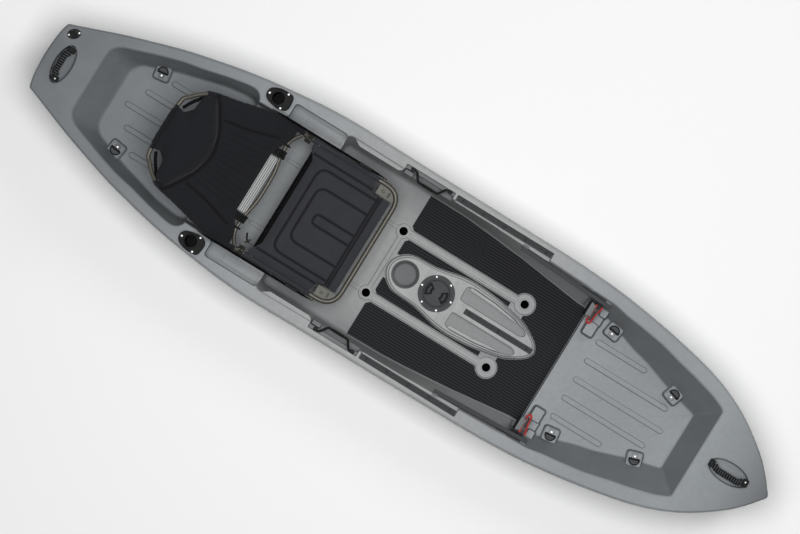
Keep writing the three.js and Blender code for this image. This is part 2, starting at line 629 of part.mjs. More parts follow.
// The mat: a slab round the scupper ridges and the pod, and a sliver each side of the pod
function matCutters() {
  const height = mat.thickness + overrun;
  const low = cockpit.floor - root;
  const pods = podHalf(mat.margin);
  const podCutter = solid(symmetricLoft([
    pods.map((p) => new THREE.Vector3(p.x, p.y, low)),
    pods.map((p) => new THREE.Vector3(p.x, p.y, low + height)),
  ]));
  const width = scupperRidge.width + 2 * mat.margin;
  const ridge = bothSides(rib(scupper.sternX, scupper.bowX, (scupper.sternY + scupper.bowY) / 2, width,
    cockpit.floor, height));
  const rings = scupperPlaces().map(({ x, y, ring }) => bothSides(round(ring + mat.margin, height)
    .translate(x, y, low)));
  const neck = bothSides(extruded(box(scupper.bowX - scupperRidge.width / 2, scupper.bowX + scupperRidge.width / 2,
    0, scupper.bowY), height).translate(0, 0, low));
  return podCutter.add(ridge).add(rings[0]).add(rings[1]).add(neck);
}
function matSlab() {
  const low = cockpit.floor + gap;
  const floor = basinHalf(cockpit, cockpit.floorShares);
  const clipped = floor
    .map((p) => flat(THREE.MathUtils.clamp(p.x, mat.stern, mat.bow), p.y - mat.margin))
    .filter((p, i, all) => i === 0 || p.x > all[i - 1].x);
  return solid(symmetricLoft([
    clipped.map((p) => new THREE.Vector3(p.x, p.y, low)),
    clipped.map((p) => new THREE.Vector3(p.x, p.y, low + mat.thickness)),
  ]));
}
function sliverBlock(side) {
  const y = side * (mat.sliverInner + mat.sliverOuter) / 2;
  const width = mat.sliverOuter - mat.sliverInner;
  const length = mat.sliverBow - mat.sliverStern;
  return solid(new THREE.BoxGeometry(length, width, mat.thickness + 2 * overrun)
    .translate((mat.sliverStern + mat.sliverBow) / 2, y, cockpit.floor));
}
function mainMatGeometry() {
  const inner = new THREE.BoxGeometry(scupper.bowX - mat.stern, 2 * scupper.bowY, mat.thickness + 2 * overrun)
    .translate((scupper.bowX + mat.stern) / 2, 0, cockpit.floor);
  return geometryOf(matSlab().subtract(matCutters()).subtract(solid(inner)));
}
function sliverGeometry(side) {
  return geometryOf(matSlab().intersect(sliverBlock(side)).subtract(matCutters()));
}

// The round hatch, from its flange's underside
function hatchFrameGeometry() {
  const h = hatch;
  return lathe([
    flat(h.mouthRadius, h.flange), flat(h.mouthRadius, -h.ledgeDepth), flat(h.ledgeRadius, -h.ledgeDepth),
    flat(h.ledgeRadius, -h.ledgeDepth - h.ledge), flat(h.mouthRadius, -h.ledgeDepth - h.ledge),
    flat(h.mouthRadius, -h.barrel), flat(h.barrelRadius, -h.barrel), flat(h.barrelRadius, 0),
    flat(h.flangeRadius, 0), flat(h.flangeRadius, h.flange - h.edge), flat(h.flangeRadius - h.edge, h.flange),
    flat(h.mouthRadius, h.flange),
  ], 0, 0, 0, hatchSteps);
}
function oRingZ() {
  return -hatch.ledgeDepth + gap + oRing.section;
}
function fingerWell(side) {
  const shape = new THREE.Shape();
  const half = cover.wellHalfAngle * degrees;
  const middle = side > 0 ? 0 : turn / 2;
  shape.absarc(0, 0, cover.wellOuter, middle - half, middle + half, false);
  shape.absarc(0, 0, cover.wellInner, middle + half, middle - half, true);
  return extruded(shape, cover.wellDepth + overrun, smallSteps).translate(0, 0, hatch.flange - cover.wellDepth);
}
function hatchCoverGeometry() {
  const low = oRingZ() + oRing.section + gap;
  const disk = solid(round(cover.radius, hatch.flange - cover.crown - low, hatchSteps).translate(0, 0, low));
  return geometryOf(disk.subtract(solid(fingerWell(1))).subtract(solid(fingerWell(-1))));
}

// Slotted track and foot rail sections, run along X
function channelShape(width, height, base, wall, slot) {
  const w = width / 2;
  const s = slot / 2;
  return new THREE.Shape([
    flat(-w, 0), flat(w, 0), flat(w, height), flat(s, height), flat(s, height - wall),
    flat(w - wall, height - wall), flat(w - wall, base), flat(wall - w, base), flat(wall - w, height - wall),
    flat(-s, height - wall), flat(-s, height), flat(-w, height),
  ]);
}
function trackGeometry(length) {
  const shape = channelShape(track.width, track.height, track.base, track.lip, track.slot);
  return alongX(extruded(shape, length).translate(0, 0, -length / 2));
}
function railGeometry() {
  const length = (rail.bow - rail.stern) / Math.cos(railAngle());
  const shape = channelShape(rail.height, rail.depth, rail.plate, rail.plate, rail.slot);
  return alongX(extruded(shape, length).translate(0, -rail.depth / 2, -length / 2)).rotateX(turn / 4);
}
// The carriage's block, neck and shoe, with +Y into the rail
function carriageGeometry() {
  const c = carriage;
  const face = -rail.depth / 2 - gap;
  const shoeLow = -rail.depth / 2 + rail.plate + gap;
  const block = new THREE.BoxGeometry(c.length, c.reach, c.blockHeight).translate(0, face - c.reach / 2, 0);
  const neckDepth = shoeLow - face + 2 * root;
  const neck = new THREE.BoxGeometry(c.length, neckDepth, c.neck)
    .translate(0, face - root + neckDepth / 2, 0);
  const shoe = new THREE.BoxGeometry(c.length, c.shoeDepth, c.shoeHeight)
    .translate(0, shoeLow + c.shoeDepth / 2, 0);
  return geometryOf(joined([block, neck, shoe]));
}
function pedalGeometry() {
  const plate = extruded(roundedBox(pedal.width, pedal.height, pedal.corner), pedal.thickness);
  return alongX(plate.translate(0, 0, -pedal.thickness / 2));
}

// Tubes along a smooth or a cornered path
function tubeAlong(path, radius, steps, sides = tubeSides) {
  const shape = new THREE.Shape(Array.from({ length: sides }, (_, i) => flat(
    radius * Math.cos((i / sides) * turn), radius * Math.sin((i / sides) * turn))));
  return new THREE.ExtrudeGeometry(shape, { steps, bevelEnabled: false, extrudePath: path });
}
function smoothPath(points) {
  return new THREE.CatmullRomCurve3(points, false, 'centripetal');
}
function bentPath(corners, radius) {
  const path = new THREE.CurvePath();
  let from = corners[0];
  for (let i = 1; i + 1 < corners.length; i += 1) {
    const before = corners[i - 1].clone().sub(corners[i]).setLength(radius).add(corners[i]);
    const after = corners[i + 1].clone().sub(corners[i]).setLength(radius).add(corners[i]);
    path.add(new THREE.LineCurve3(from, before));
    path.add(new THREE.QuadraticBezierCurve3(before, corners[i], after));
    from = after;
  }
  path.add(new THREE.LineCurve3(from, corners[corners.length - 1]));
  return path;
}

// Deck fittings
function rodHolderGeometry() {
  const plate = solid(extruded(rodFlangeShape(-gap), rodHolder.plate));
  const tube = solid(round(rodHolder.tube, rodHolder.depth + root, tubeSteps).translate(0, 0, -rodHolder.depth));
  const bore = solid(round(rodHolder.bore, rodHolder.depth + overrun, tubeSteps)
    .translate(0, 0, rodHolder.cap - rodHolder.depth));
  return geometryOf(plate.add(tube).subtract(bore));
}
function drainHousingGeometry() {
  const plate = solid(extruded(oval(drain.length / 2 - gap, drain.width / 2 - gap), drain.plate, roundSteps)
    .rotateZ(drain.turn * degrees));
  const sleeve = solid(round(drain.sleeve, drain.sleeveDepth + root, smallSteps).translate(0, 0, -drain.sleeveDepth));
  const bore = solid(round(drain.bore, drain.sleeveDepth + 2 * overrun, smallSteps)
    .translate(0, 0, -drain.sleeveDepth - overrun));
  return geometryOf(plate.add(sleeve).subtract(bore));
}
function drainPlugGeometry() {
  const low = drain.plate + gap;
  const head = round(drain.plugHead, drain.headHeight, smallSteps).translate(0, 0, low);
  const shank = round(drain.shank, drain.shankDepth + root, smallSteps).translate(0, 0, low - drain.shankDepth);
  return geometryOf(joined([head, shank]));
}
function eyeGeometry() {
  const plate = extruded(roundedBox(eye.base, eye.base, eye.corner), eye.plate);
  const hoop = tubeAlong(bentPath([
    new THREE.Vector3(-eye.span, 0, eye.plate - root), new THREE.Vector3(-eye.span, 0, eye.plate + eye.rise),
    new THREE.Vector3(eye.span, 0, eye.plate + eye.rise), new THREE.Vector3(eye.span, 0, eye.plate - root),
  ], eye.span / 2), eye.bar, 8, 6);
  return geometryOf(joined([plate, hoop]));
}

// Carry handles: a bowed grip between two anchors that hold its pins, made along X
function endGripGeometry(halfSpan) {
  const e = endHandle;
  const reach = halfSpan - gap;
  const inset = reach - e.shoulder;
  const path = bentPath([
    new THREE.Vector3(-reach, 0, 0), new THREE.Vector3(-inset, -e.lean, 0),
    new THREE.Vector3(inset, -e.lean, 0), new THREE.Vector3(reach, 0, 0),
  ], e.shoulder / 2);
  const limits = solid(new THREE.BoxGeometry(2 * reach, 4 * e.lean, 4 * e.radius));
  const grip = solid(tubeAlong(path, e.radius, 14, 10)).intersect(limits);
  return [-1, 1].reduce((body, end) => body.subtract(solid(alongX(
    round(e.pinRadius + e.pinClearance, 2 * e.pin, smallSteps).translate(0, 0, -e.pin))
    .translate(end * halfSpan, 0, 0))), grip);
}
function anchorGeometry(end) {
  const block = extruded(roundedBox(anchor.length, anchor.width, anchor.corner), anchor.height)
    .translate(end * anchor.length / 2, 0, 0);
  const pinLength = endHandle.pin + anchor.corner;
  const pin = alongX(round(endHandle.pinRadius, pinLength, smallSteps).translate(0, 0, -pinLength / 2))
    .translate(end * (pinLength / 2 - endHandle.pin + gap), 0, endHandle.rise);
  return geometryOf(joined([block, pin]));
}
function bailGeometry() {
  const b = bail;
  const at = (x, reach) => new THREE.Vector3(x, -reach, 0);
  return tubeAlong(bentPath([
    at(b.stern, 0), at(b.sternKnee, 0), at(b.sternGrip, b.reach), at(b.bowGrip, b.reach), at(b.bowKnee, 0),
    at(b.bow, 0),
  ], 2 * b.radius), b.radius, 20);
}
function bracketGeometry() {
  const block = solid(new THREE.BoxGeometry(bracket.length, bracket.width, bracket.height)
    .translate(0, 0, bracket.height / 2));
  const bore = solid(alongX(round(bail.radius + bail.clearance, 2 * bracket.length, smallSteps)
    .translate(0, 0, -bracket.length)).translate(0, 0, bracket.pivot));
  return geometryOf(block.subtract(bore));
}

// The seat's frame
function seatFrameGeometry() {
  const y = seat.halfWidth;
  const at = (x, side) => new THREE.Vector3(x, side * y, seat.z);
  const loop = tubeAlong(bentPath([at(seat.rear, -1), at(seat.front, -1), at(seat.front, 1), at(seat.rear, 1)],
    seat.corner), seat.tube, 26, 10);
  const cross = tubeAlong(new THREE.LineCurve3(at(seat.crossX, -1), at(seat.crossX, 1)), seat.tube, 1, 10);
  const ears = [-1, 1].map((side) => {
    const height = seat.pivotZ - seat.z;
    const plate = extruded(roundedBox(2 * bolt.bracketRadius, height + bolt.bracketRadius, bolt.bracketRadius / 2),
      bolt.bracketThickness).rotateX(turn / 4);
    return plate.translate(seat.pivotX, side * earPlace() + bolt.bracketThickness / 2,
      seat.z + (height + bolt.bracketRadius) / 2);
  });
  const holes = [-1, 1].map((side) => solid(crossRound(bolt.radius + bolt.clearance, 2 * overrun)
    .translate(seat.pivotX, side * earPlace(), seat.pivotZ)));
  return geometryOf(joined([loop, cross, ...ears, strapLug(1), strapLug(-1)]).subtract(holes[0]).subtract(holes[1]));
}
function earPlace() {
  return seat.halfWidth - seat.tube + bolt.bracketThickness / 2;
}
function crossRound(radius, length) {
  return round(radius, length, smallSteps).translate(0, 0, -length / 2).rotateX(turn / 4);
}
function legGeometry() {
  const floor = cockpit.floor + seatRidge.height + gap + leg.tube;
  const top = seat.z - seat.tube - gap;
  const at = (y, z) => new THREE.Vector3(0, y, z);
  return tubeAlong(bentPath([
    at(-seat.halfWidth, top), at(-leg.footHalfWidth, floor), at(leg.footHalfWidth, floor), at(seat.halfWidth, top),
  ], leg.bend), leg.tube, 14);
}
// Back pieces are made with X along the recline from the pivot, Y to port and Z out of the face
function backFrameGeometry() {
  const f = backFrame;
  const at = (share, side) => new THREE.Vector3(share[0] * f.length, side * share[1] * f.pivotHalfWidth, 0);
  const side = f.shares.map((share) => at(share, 1));
  const other = f.shares.map((share) => at(share, -1)).reverse();
  const loop = tubeAlong(smoothPath([...side, ...other]), f.tube, 34);
  const bar = tubeAlong(smoothPath([
    ...f.barShares.map((share) => at(share, 1)), ...f.barShares.map((share) => at(share, -1)).reverse(),
  ]), f.tube - root / 2, 14);
  const eyesAtPivot = [-1, 1].map((end) => crossRound(bolt.bracketRadius - root, 2 * f.tube)
    .translate(0, end * pivotHubPlace(), 0));
  const bores = [-1, 1].map((end) => solid(crossRound(bolt.radius + bolt.clearance, 4 * overrun)
    .translate(0, end * pivotHubPlace(), 0)));
  const clear = new THREE.BoxGeometry(4 * bolt.bracketRadius, 2 * pivotHubPlace() - 2 * f.tube, 4 * f.tube);
  return geometryOf(joined([loop, ...eyesAtPivot]).subtract(solid(clear)).add(solid(bar))
    .subtract(bores[0]).subtract(bores[1]));
}
function pivotHubPlace() {
  return earPlace() + bolt.bracketThickness / 2 + gap + backFrame.tube;
}
function boltGeometry() {
  const inner = earPlace() - bolt.bracketThickness / 2 - gap;
  const length = pivotHubPlace() + backFrame.tube + gap - inner;
  const shank = round(bolt.radius, length + 2 * root, smallSteps).translate(0, 0, -root);
  const head = round(bolt.headRadius, bolt.head, smallSteps).translate(0, 0, -bolt.head);
  const nut = round(bolt.headRadius, bolt.head, smallSteps).translate(0, 0, length);
  return joined([shank, head, nut]);
}

// Soft pieces: a grid over a plan, thick in the middle and drawn in at its edge
function cushionGeometry({ place, top, bottom, across, along }) {
  const places = [];
  const index = [];
  const row = across + 1;
  for (const face of [top, bottom]) {
    for (let i = 0; i <= along; i += 1) {
      for (let j = 0; j <= across; j += 1) {
        const u = i / along;
        const v = (2 * j) / across - 1;
        const p = place(u, v);
        places.push(p.x, p.y, face(u, v));
      }
    }
  }
  const under = row * (along + 1);
  const quad = (a, b, c, d) => index.push(a, b, c, a, c, d);
  for (let i = 0; i < along; i += 1) {
    for (let j = 0; j < across; j += 1) {
      const a = i * row + j;
      quad(a, a + row, a + row + 1, a + 1);
      quad(under + a, under + a + 1, under + a + row + 1, under + a + row);
    }
    quad(i * row, under + i * row, under + (i + 1) * row, (i + 1) * row);
    const far = i * row + across;
    quad(far, far + row, under + far + row, under + far);
  }
  const end = along * row;
  for (let j = 0; j < across; j += 1) {
    quad(j, j + 1, under + j + 1, under + j);
    quad(end + j, under + end + j, under + end + j + 1, end + j + 1);
  }
  const geometry = new THREE.BufferGeometry();
  geometry.setAttribute('position', new THREE.Float32BufferAttribute(places, 3));
  geometry.setIndex(index);
  return geometry;
}
// A soft crown over the grid: 1 in the middle and 0 at the rim
function crownShare(u, v) {
  const w = 2 * u - 1;
  return (1 - w ** 4) * (1 - v ** 4);
}
// How near a point is to a sewn line, from 0 to 1
function seamShare(distance, reach) {
  return Math.max(0, 1 - Math.abs(distance) / reach) ** 2;
}
const panSeamShares = { outer: 0.72, inner: 0.36, reach: 0.07 };
const panCrownShare = 0.5;
const panCornerShares = { from: 0.82, drawIn: 0.17 };
function panGeometry() {
  const p = pan;
  const s = panSeamShares;
  const c = panCornerShares;
  const place = (u, v) => {
    const x = p.rear + u * (p.front - p.rear);
    const corner = Math.max(0, u - c.from) / (1 - c.from);
    return flat(x, v * p.halfWidth * (1 - c.drawIn * corner ** 2));
  };
  const low = seat.z + seat.tube + gap;
  const top = (u, v) => {
    const size = Math.max(Math.abs(2 * u - 1), Math.abs(v));
    const seams = seamShare(size - s.outer, s.reach) + seamShare(size - s.inner, s.reach);
    return low + p.edge + (p.thickness - p.edge + p.crown * panCrownShare) * crownShare(u, v) - p.seam * seams;
  };
  return cushionGeometry({ place, top, bottom: () => low, across: 16, along: 14 });
}
const panelWidthShares = [[0, 0.66], [0.06, 0.97], [0.14, 1], [0.3, 0.96], [0.5, 0.86], [0.72, 0.79],
  [0.82, 0.71], [0.9, 0.52], [1, 0.4]];
const panelSeamShares = { across: 0.66, reach: 0.09 };
const headWidthShares = [[0, 0.08], [0.1, 0.45], [0.25, 0.72], [0.42, 1], [0.62, 0.92], [0.8, 0.66], [1, 0.52]];
function widthAt(shares, u) {
  const next = shares.findIndex(([at]) => at >= u);
  if (next <= 0) return shares[0][1];
  const [from, low] = shares[next - 1];
  const [to, high] = shares[next];
  return low + ((u - from) / (to - from)) * (high - low);
}
function panelGeometry() {
  const p = panel;
  const place = (u, v) => flat(p.low + u * (p.high - p.low), v * p.halfWidth * widthAt(panelWidthShares, u));
  const low = backFrame.tube + gap;
  const top = (u, v) => {
    const seams = seamShare(Math.abs(v) - panelSeamShares.across, panelSeamShares.reach);
    return low + p.edge + (p.thickness - p.edge) * crownShare(u, v) - p.seam * seams * crownShare(u, v);
  };
  return cushionGeometry({ place, top, bottom: () => low, across: 16, along: 14 });
}
function headrestGeometry() {
  const h = headrest;
  const place = (u, v) => flat(h.low + u * (h.high - h.low), v * h.halfWidth * widthAt(headWidthShares, u));
  const low = backFrame.tube + panel.thickness + 2 * gap;
  const top = (u, v) => low + h.edge + (h.thickness + h.crown - h.edge) * crownShare(u, v);
  return cushionGeometry({ place, top, bottom: () => low, across: 12, along: 10 });
}
function backZ(x) {
  return seat.pivotZ + (seat.pivotX - x) * Math.tan(seat.recline * degrees);
}
function strapShape(grow) {
  const rear = flat(strap.rear, backZ(strap.rear));
  const front = flat(strap.front, seat.z);
  const half = strap.width / 2 + grow;
  return new THREE.Shape([
    flat(rear.x, rear.y - half), flat(front.x, front.y - half), flat(front.x, front.y + half),
    flat(rear.x, rear.y + half),
  ]);
}
function standing(geometry) {
  return geometry.rotateX(turn / 4);
}
// The straps pass just outside the back frame's widest place
function strapInner() {
  const widest = Math.max(...backFrame.shares.map(([, across]) => across));
  return backFrame.pivotHalfWidth * widest + backFrame.tube + 2 * gap;
}
function strapGeometry(grow) {
  const thickness = strap.thickness + 2 * grow;
  return standing(extruded(strapShape(grow), thickness)).translate(0, strapInner() + strap.thickness + grow, 0);
}
function strapLug(side) {
  const inner = seat.halfWidth;
  const length = strapInner() - gap - inner;
  return crossRound(strap.lug, length)
    .translate(strap.front - strap.lugInset, side * (inner + length / 2), seat.z);
}
function buckleGeometry() {
  const share = (buckle.x - strap.rear) / (strap.front - strap.rear);
  const z = backZ(strap.rear) + share * (seat.z - backZ(strap.rear));
  const slope = Math.atan2(backZ(strap.rear) - seat.z, strap.front - strap.rear);
  const block = new THREE.BoxGeometry(buckle.length, buckle.thickness, buckle.height).rotateY(slope)
    .translate(buckle.x, strapInner() + strap.thickness / 2, z);
  return geometryOf(solid(block).subtract(solid(strapGeometry(buckle.clearance))));
}
function hookFace() {
  return railPlace(railHook.x) - rail.depth / 2 - gap - railHook.depth;
}
// The cord's route: from the rail's hook down round the pad's post and back
function bungeeGeometry() {
  const d = bungee.diameter;
  const z = rail.z;
  const post = bowWell.floor + pads.inner.height + d / 2 + bungee.lift;
  const half = railHook.length / 2 - d;
  const wrap = padPost.radius + d / 2 + bungee.lift;
  const end = hookFace() - 2 * gap;
  const at = (x, y, up) => new THREE.Vector3(x, y, up);
  const x = padPost.x;
  const foot = padPost.y;
  const middle = (foot + end) / 2;
  const rise = (post + z) / 2;
  return tubeAlong(smoothPath([
    at(railHook.x - half, end, z), at(railHook.x - half, end - d, z), at(x - wrap, middle, rise),
    at(x - wrap, foot + wrap, post + d / 2), at(x - wrap, foot, post), at(x, foot - wrap, post),
    at(x + wrap, foot, post), at(x + wrap, foot + wrap, post + d / 2), at(x + wrap, middle, rise),
    at(railHook.x + half, end - d, z), at(railHook.x + half, end, z),
  ]), d / 2, 26);
}
function railHookGeometry() {
  return new THREE.BoxGeometry(railHook.length, railHook.depth, railHook.height);
}

// The assembly
const kayak = new THREE.Group();
function piece(name, geometry, look, parent = kayak) {
  const mesh = new THREE.Mesh(geometry, look);
  mesh.name = name;
  parent.add(mesh);
  return mesh;
}
function pieceAt(name, geometry, look, x, y, z, angle = 0) {
  const mesh = piece(name, geometry, look);
  mesh.position.set(x, y, z);
  mesh.rotation.z = angle;
  return mesh;
}
const sides = [['port', 1], ['starboard', -1]];
function forSide(geometry, side) {
  return side > 0 ? geometry : mirrored(geometry);
}

function addHull() {
  piece('hull', hullGeometry(), hullPlastic);
  pieceAt('bow_foam_block', foamGeometry(bowWell.floor), whiteFoam, foam.bowX, 0, 0);
  pieceAt('stern_foam_block', foamGeometry(sternWell.floor), whiteFoam, foam.sternX, 0, 0);
  piece('traction_mat', mainMatGeometry(), matFoam);
  sides.forEach(([name, side]) => piece(`${name}_inner_mat`, sliverGeometry(side), matFoam));
}
function addHatch() {
  const z = podTop + gap;
  pieceAt('hatch_frame', hatchFrameGeometry(), blackPlastic, hatch.x, 0, z);
  pieceAt('hatch_o_ring', new THREE.TorusGeometry(oRing.radius, oRing.section, 6, hatchSteps), blackRubber,
    hatch.x, 0, z + oRingZ());
  pieceAt('hatch_cover', hatchCoverGeometry(), blackPlastic, hatch.x, 0, z);
}
function addTracks() {
  const middle = (podTrack.stern + podTrack.bow) / 2;
  pieceAt('pod_gear_track', trackGeometry(podTrack.bow - podTrack.stern), trackMetal, middle, 0,
    podTop - podTrack.depth + gap);
  sides.forEach(([name, side]) => {
    pieceAt(`${name}_gear_track`, trackGeometry(sideTrack.bow - sideTrack.stern), trackMetal,
      (sideTrack.stern + sideTrack.bow) / 2, side * sideTrack.y, shelfHeight() + gap);
  });
}
function addFootBraces() {
  sides.forEach(([name, side]) => {
    const angle = side * railAngle();
    const middle = (rail.stern + rail.bow) / 2;
    pieceAt(`${name}_foot_rail`, forSide(railGeometry(), side), trackMetal, middle, side * railPlace(middle), rail.z,
      angle);
    pieceAt(`${name}_foot_carriage`, forSide(carriageGeometry(), side), blackPlastic, carriage.x,
      side * railPlace(carriage.x), rail.z, angle);
    const inner = railPlace(carriage.x) - rail.depth / 2 - carriage.reach - 3 * gap;
    pieceAt(`${name}_foot_pedal`, pedalGeometry(), greyPlastic, pedal.x, side * (inner - pedal.width / 2),
      rail.z - pedal.drop);
    const hook = railHookGeometry();
    pieceAt(`${name}_rail_hook`, hook, blackPlastic, railHook.x,
      side * (hookFace() + railHook.depth / 2), rail.z, angle);
    piece(`${name}_paddle_bungee`, forSide(bungeeGeometry(), side), redCord);
  });
}
function addDeckFittings() {
  sides.forEach(([name, side]) => {
    pieceAt(`${name}_rod_holder`, forSide(rodHolderGeometry(), side), blackPlastic, rodHolder.x,
      side * rodHolder.y, rodSeatHeight() + gap);
    eyes.forEach((place) => pieceAt(`${place.name}_${name}_tie_down`, eyeGeometry(), blackPlastic, place.x,
      side * place.y, eyeFloor(place) + place.lift + gap, side * place.turn * degrees));
  });
  const drainZ = drainSeatHeight() + gap;
  pieceAt('drain_housing', drainHousingGeometry(), blackPlastic, drain.x, drain.y, drainZ);
  pieceAt('drain_plug', drainPlugGeometry(), blackPlastic, drain.x, drain.y, drainZ);
}
function addEndHandle(name, handle, angle) {
  const deck = deckHeight(handle.x / hullLevelShares.at(-1)[0]) + gap;
  const group = new THREE.Group();
  group.position.set(handle.x, 0, deck);
  group.rotation.set(0, deckPitch(handle.x), angle);
  kayak.add(group);
  const grip = piece(`${name}_handle_grip`, geometryOf(endGripGeometry(handle.halfSpan)), blackRubber, group);
  grip.position.z = endHandle.rise;
  [['first', -1], ['second', 1]].forEach(([end, sign]) => {
    const block = piece(`${name}_handle_${end}_anchor`, anchorGeometry(sign), blackPlastic, group);
    block.position.x = sign * handle.halfSpan;
  });
}
function addHandles() {
  addEndHandle('bow', bowHandle, 0);
  addEndHandle('stern', sternHandle, -turn / 4);
  sides.forEach(([name, side]) => {
    const z = shelfHeight() + gap;
    pieceAt(`${name}_side_handle`, forSide(bailGeometry(), side), blackPlastic, 0, side * bail.y, z + bracket.pivot);
    [['stern', bail.sternKnee - bracket.length], ['bow', bail.bowKnee + bracket.length]].forEach(([end, x]) => {
      pieceAt(`${name}_handle_${end}_bracket`, bracketGeometry(), blackPlastic, x, side * bail.y, z);
    });
  });
}
function addSeat() {
  piece('seat_base_frame', seatFrameGeometry(), frameTube);
  pieceAt('seat_front_leg', legGeometry(), frameTube, leg.frontX, 0, 0);
  pieceAt('seat_rear_leg', legGeometry(), frameTube, leg.rearX, 0, 0);
  piece('seat_pan', panGeometry(), blackFabric);
  const back = new THREE.Group();
  back.position.set(seat.pivotX, 0, seat.pivotZ);
  back.rotation.set(0, seat.recline * degrees, turn / 2, 'YXZ');
  kayak.add(back);
  piece('seat_back_frame', backFrameGeometry(), frameTube, back);
  piece('seat_back_panel', panelGeometry(), blackFabric, back);
  piece('headrest', headrestGeometry(), blackFabric, back);
  sides.forEach(([name, side]) => {
    const bolts = pieceAt(`${name}_pivot_bolt`, geometryOf(boltGeometry()), steel, seat.pivotX,
      side * (earPlace() - bolt.bracketThickness / 2 - gap), seat.pivotZ);
    bolts.rotation.set(-side * turn / 4, 0, 0);
    piece(`${name}_recline_strap`, forSide(strapGeometry(0), side), webbing);
    piece(`${name}_strap_buckle`, forSide(buckleGeometry(), side), blackPlastic);
  });
}

addHull();
addHatch();
addTracks();
addFootBraces();
addDeckFittings();
addHandles();
addSeat();

export default kayak;
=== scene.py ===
# A sit-on-top fishing kayak with a framed seat: the surfaces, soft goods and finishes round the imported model.
# Shapes are worked out in millimetres, with +X the bow, +Y port and +Z up, and pieces are made in metres.
import math
import bmesh
import bpy
from mathutils import Matrix, Vector


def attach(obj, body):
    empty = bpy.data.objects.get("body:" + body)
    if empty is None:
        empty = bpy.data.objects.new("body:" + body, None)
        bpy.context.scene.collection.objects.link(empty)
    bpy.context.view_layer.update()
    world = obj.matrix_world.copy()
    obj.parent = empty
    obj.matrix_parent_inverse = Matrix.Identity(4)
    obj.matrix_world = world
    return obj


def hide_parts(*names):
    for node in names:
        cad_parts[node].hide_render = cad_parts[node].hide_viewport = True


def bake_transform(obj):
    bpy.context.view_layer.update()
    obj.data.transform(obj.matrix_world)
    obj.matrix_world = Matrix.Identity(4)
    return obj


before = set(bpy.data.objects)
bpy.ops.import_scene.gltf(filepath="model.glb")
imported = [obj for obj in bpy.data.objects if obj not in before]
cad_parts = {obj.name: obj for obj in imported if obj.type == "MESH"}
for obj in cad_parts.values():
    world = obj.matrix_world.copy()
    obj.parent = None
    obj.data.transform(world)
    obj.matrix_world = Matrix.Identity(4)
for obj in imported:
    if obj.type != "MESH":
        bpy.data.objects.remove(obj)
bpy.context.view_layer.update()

MM = 0.001
TURN = 2 * math.pi
SIDES = (("port", 1), ("starboard", -1))
GAP = 0.3
OVERRUN = 20
ROOT = 2
WELD = 0.001
ARC_STEPS = 5
OUTLINE_STEPS = 4

# The hull, as the model has it
HULL = dict(length=3658, beam=894, depth=335, wall=4, end_wall=20, bow_sheer=45, stern_sheer=20,
            bow_rocker=90, stern_rocker=60, flat_bottom=2000)
HALF_LENGTH = HULL["length"] / 2
HALF_BEAM = HULL["beam"] / 2
OUTLINE_SHARES = (
    (-1, 0), (-0.9985, 0.134), (-0.995, 0.268), (-0.9895, 0.35), (-0.984, 0.368), (-0.965, 0.396),
    (-0.93, 0.45), (-0.861, 0.555), (-0.792, 0.647), (-0.723, 0.734), (-0.654, 0.803), (-0.586, 0.864),
    (-0.517, 0.913), (-0.448, 0.949), (-0.379, 0.98), (-0.31, 0.998), (-0.241, 1), (-0.103, 0.993),
    (0.034, 0.991), (0.172, 0.987), (0.31, 0.982), (0.379, 0.971), (0.448, 0.953), (0.517, 0.921),
    (0.586, 0.879), (0.654, 0.828), (0.723, 0.765), (0.792, 0.673), (0.861, 0.532), (0.93, 0.329),
    (0.965, 0.19), (0.987, 0.08), (1, 0),
)
LEVEL_SHARES = (
    (0.86, 0.62, 0), (0.92, 0.84, 0.05), (0.96, 0.93, 0.22), (0.985, 0.975, 0.5), (1, 1, 0.78),
    (0.999, 0.996, 0.93), (0.9975, 0.985, 0.985), (0.995, 0.968, 1),
)
TUNNEL = dict(width=120, height=12, stern=-1500, bow=1300)

# The deck's basins, from stern to bow, with the radius of their rims, floors and corners
COCKPIT = dict(
    stern=-530, bow=762, half=390, floor=130, rim=7, fillet=14, corner=30,
    rim_shares=((0, 1), (0.215, 0.99), (0.48, 0.985), (0.57, 0.985), (0.72, 0.975), (0.95, 0.951),
                (0.98, 0.938), (1, 0.846)),
    floor_shares=((0.008, 0.91), (0.342, 0.91), (0.48, 0.905), (0.565, 0.885), (0.72, 0.838),
                  (0.952, 0.744), (0.984, 0.74), (0.995, 0.72)))
SEAT_WELL = dict(
    stern=-800, bow=-500, half=318, floor=130, rim=6, fillet=14, corner=22,
    rim_shares=((0, 0.99), (0.05, 1), (1, 1)), floor_shares=((0.03, 0.96), (0.08, 0.975), (1, 0.975)))
BOW_WELL = dict(
    stern=725, bow=1475, half=370, floor=195, rim=6, fillet=7, corner=10,
    rim_shares=((0, 0.995), (0.154, 0.984), (0.234, 0.951), (0.368, 0.919), (0.502, 0.878), (0.636, 0.811),
                (0.77, 0.751), (0.904, 0.676), (0.978, 0.615), (1, 0.585)),
    floor_shares=((0, 0.845), (0.154, 0.81), (0.234, 0.757), (0.368, 0.662), (0.502, 0.595), (0.636, 0.5),
                  (0.77, 0.419), (0.837, 0.385), (0.866, 0.372), (0.877, 0.35)))
STERN_WELL = dict(
    stern=-1600, bow=-930, half=350, floor=190, rim=7, fillet=11, corner=26,
    rim_shares=((0, 0.443), (0.045, 0.543), (0.149, 0.614), (0.299, 0.714), (0.448, 0.8), (0.597, 0.857),
                (0.746, 0.929), (0.896, 0.986), (0.955, 0.986), (1, 0.9)),
    floor_shares=((0.172, 0.386), (0.2, 0.457), (0.224, 0.514), (0.299, 0.566), (0.448, 0.671),
                  (0.597, 0.749), (0.746, 0.829), (0.896, 0.869), (0.955, 0.869), (0.99, 0.829)))
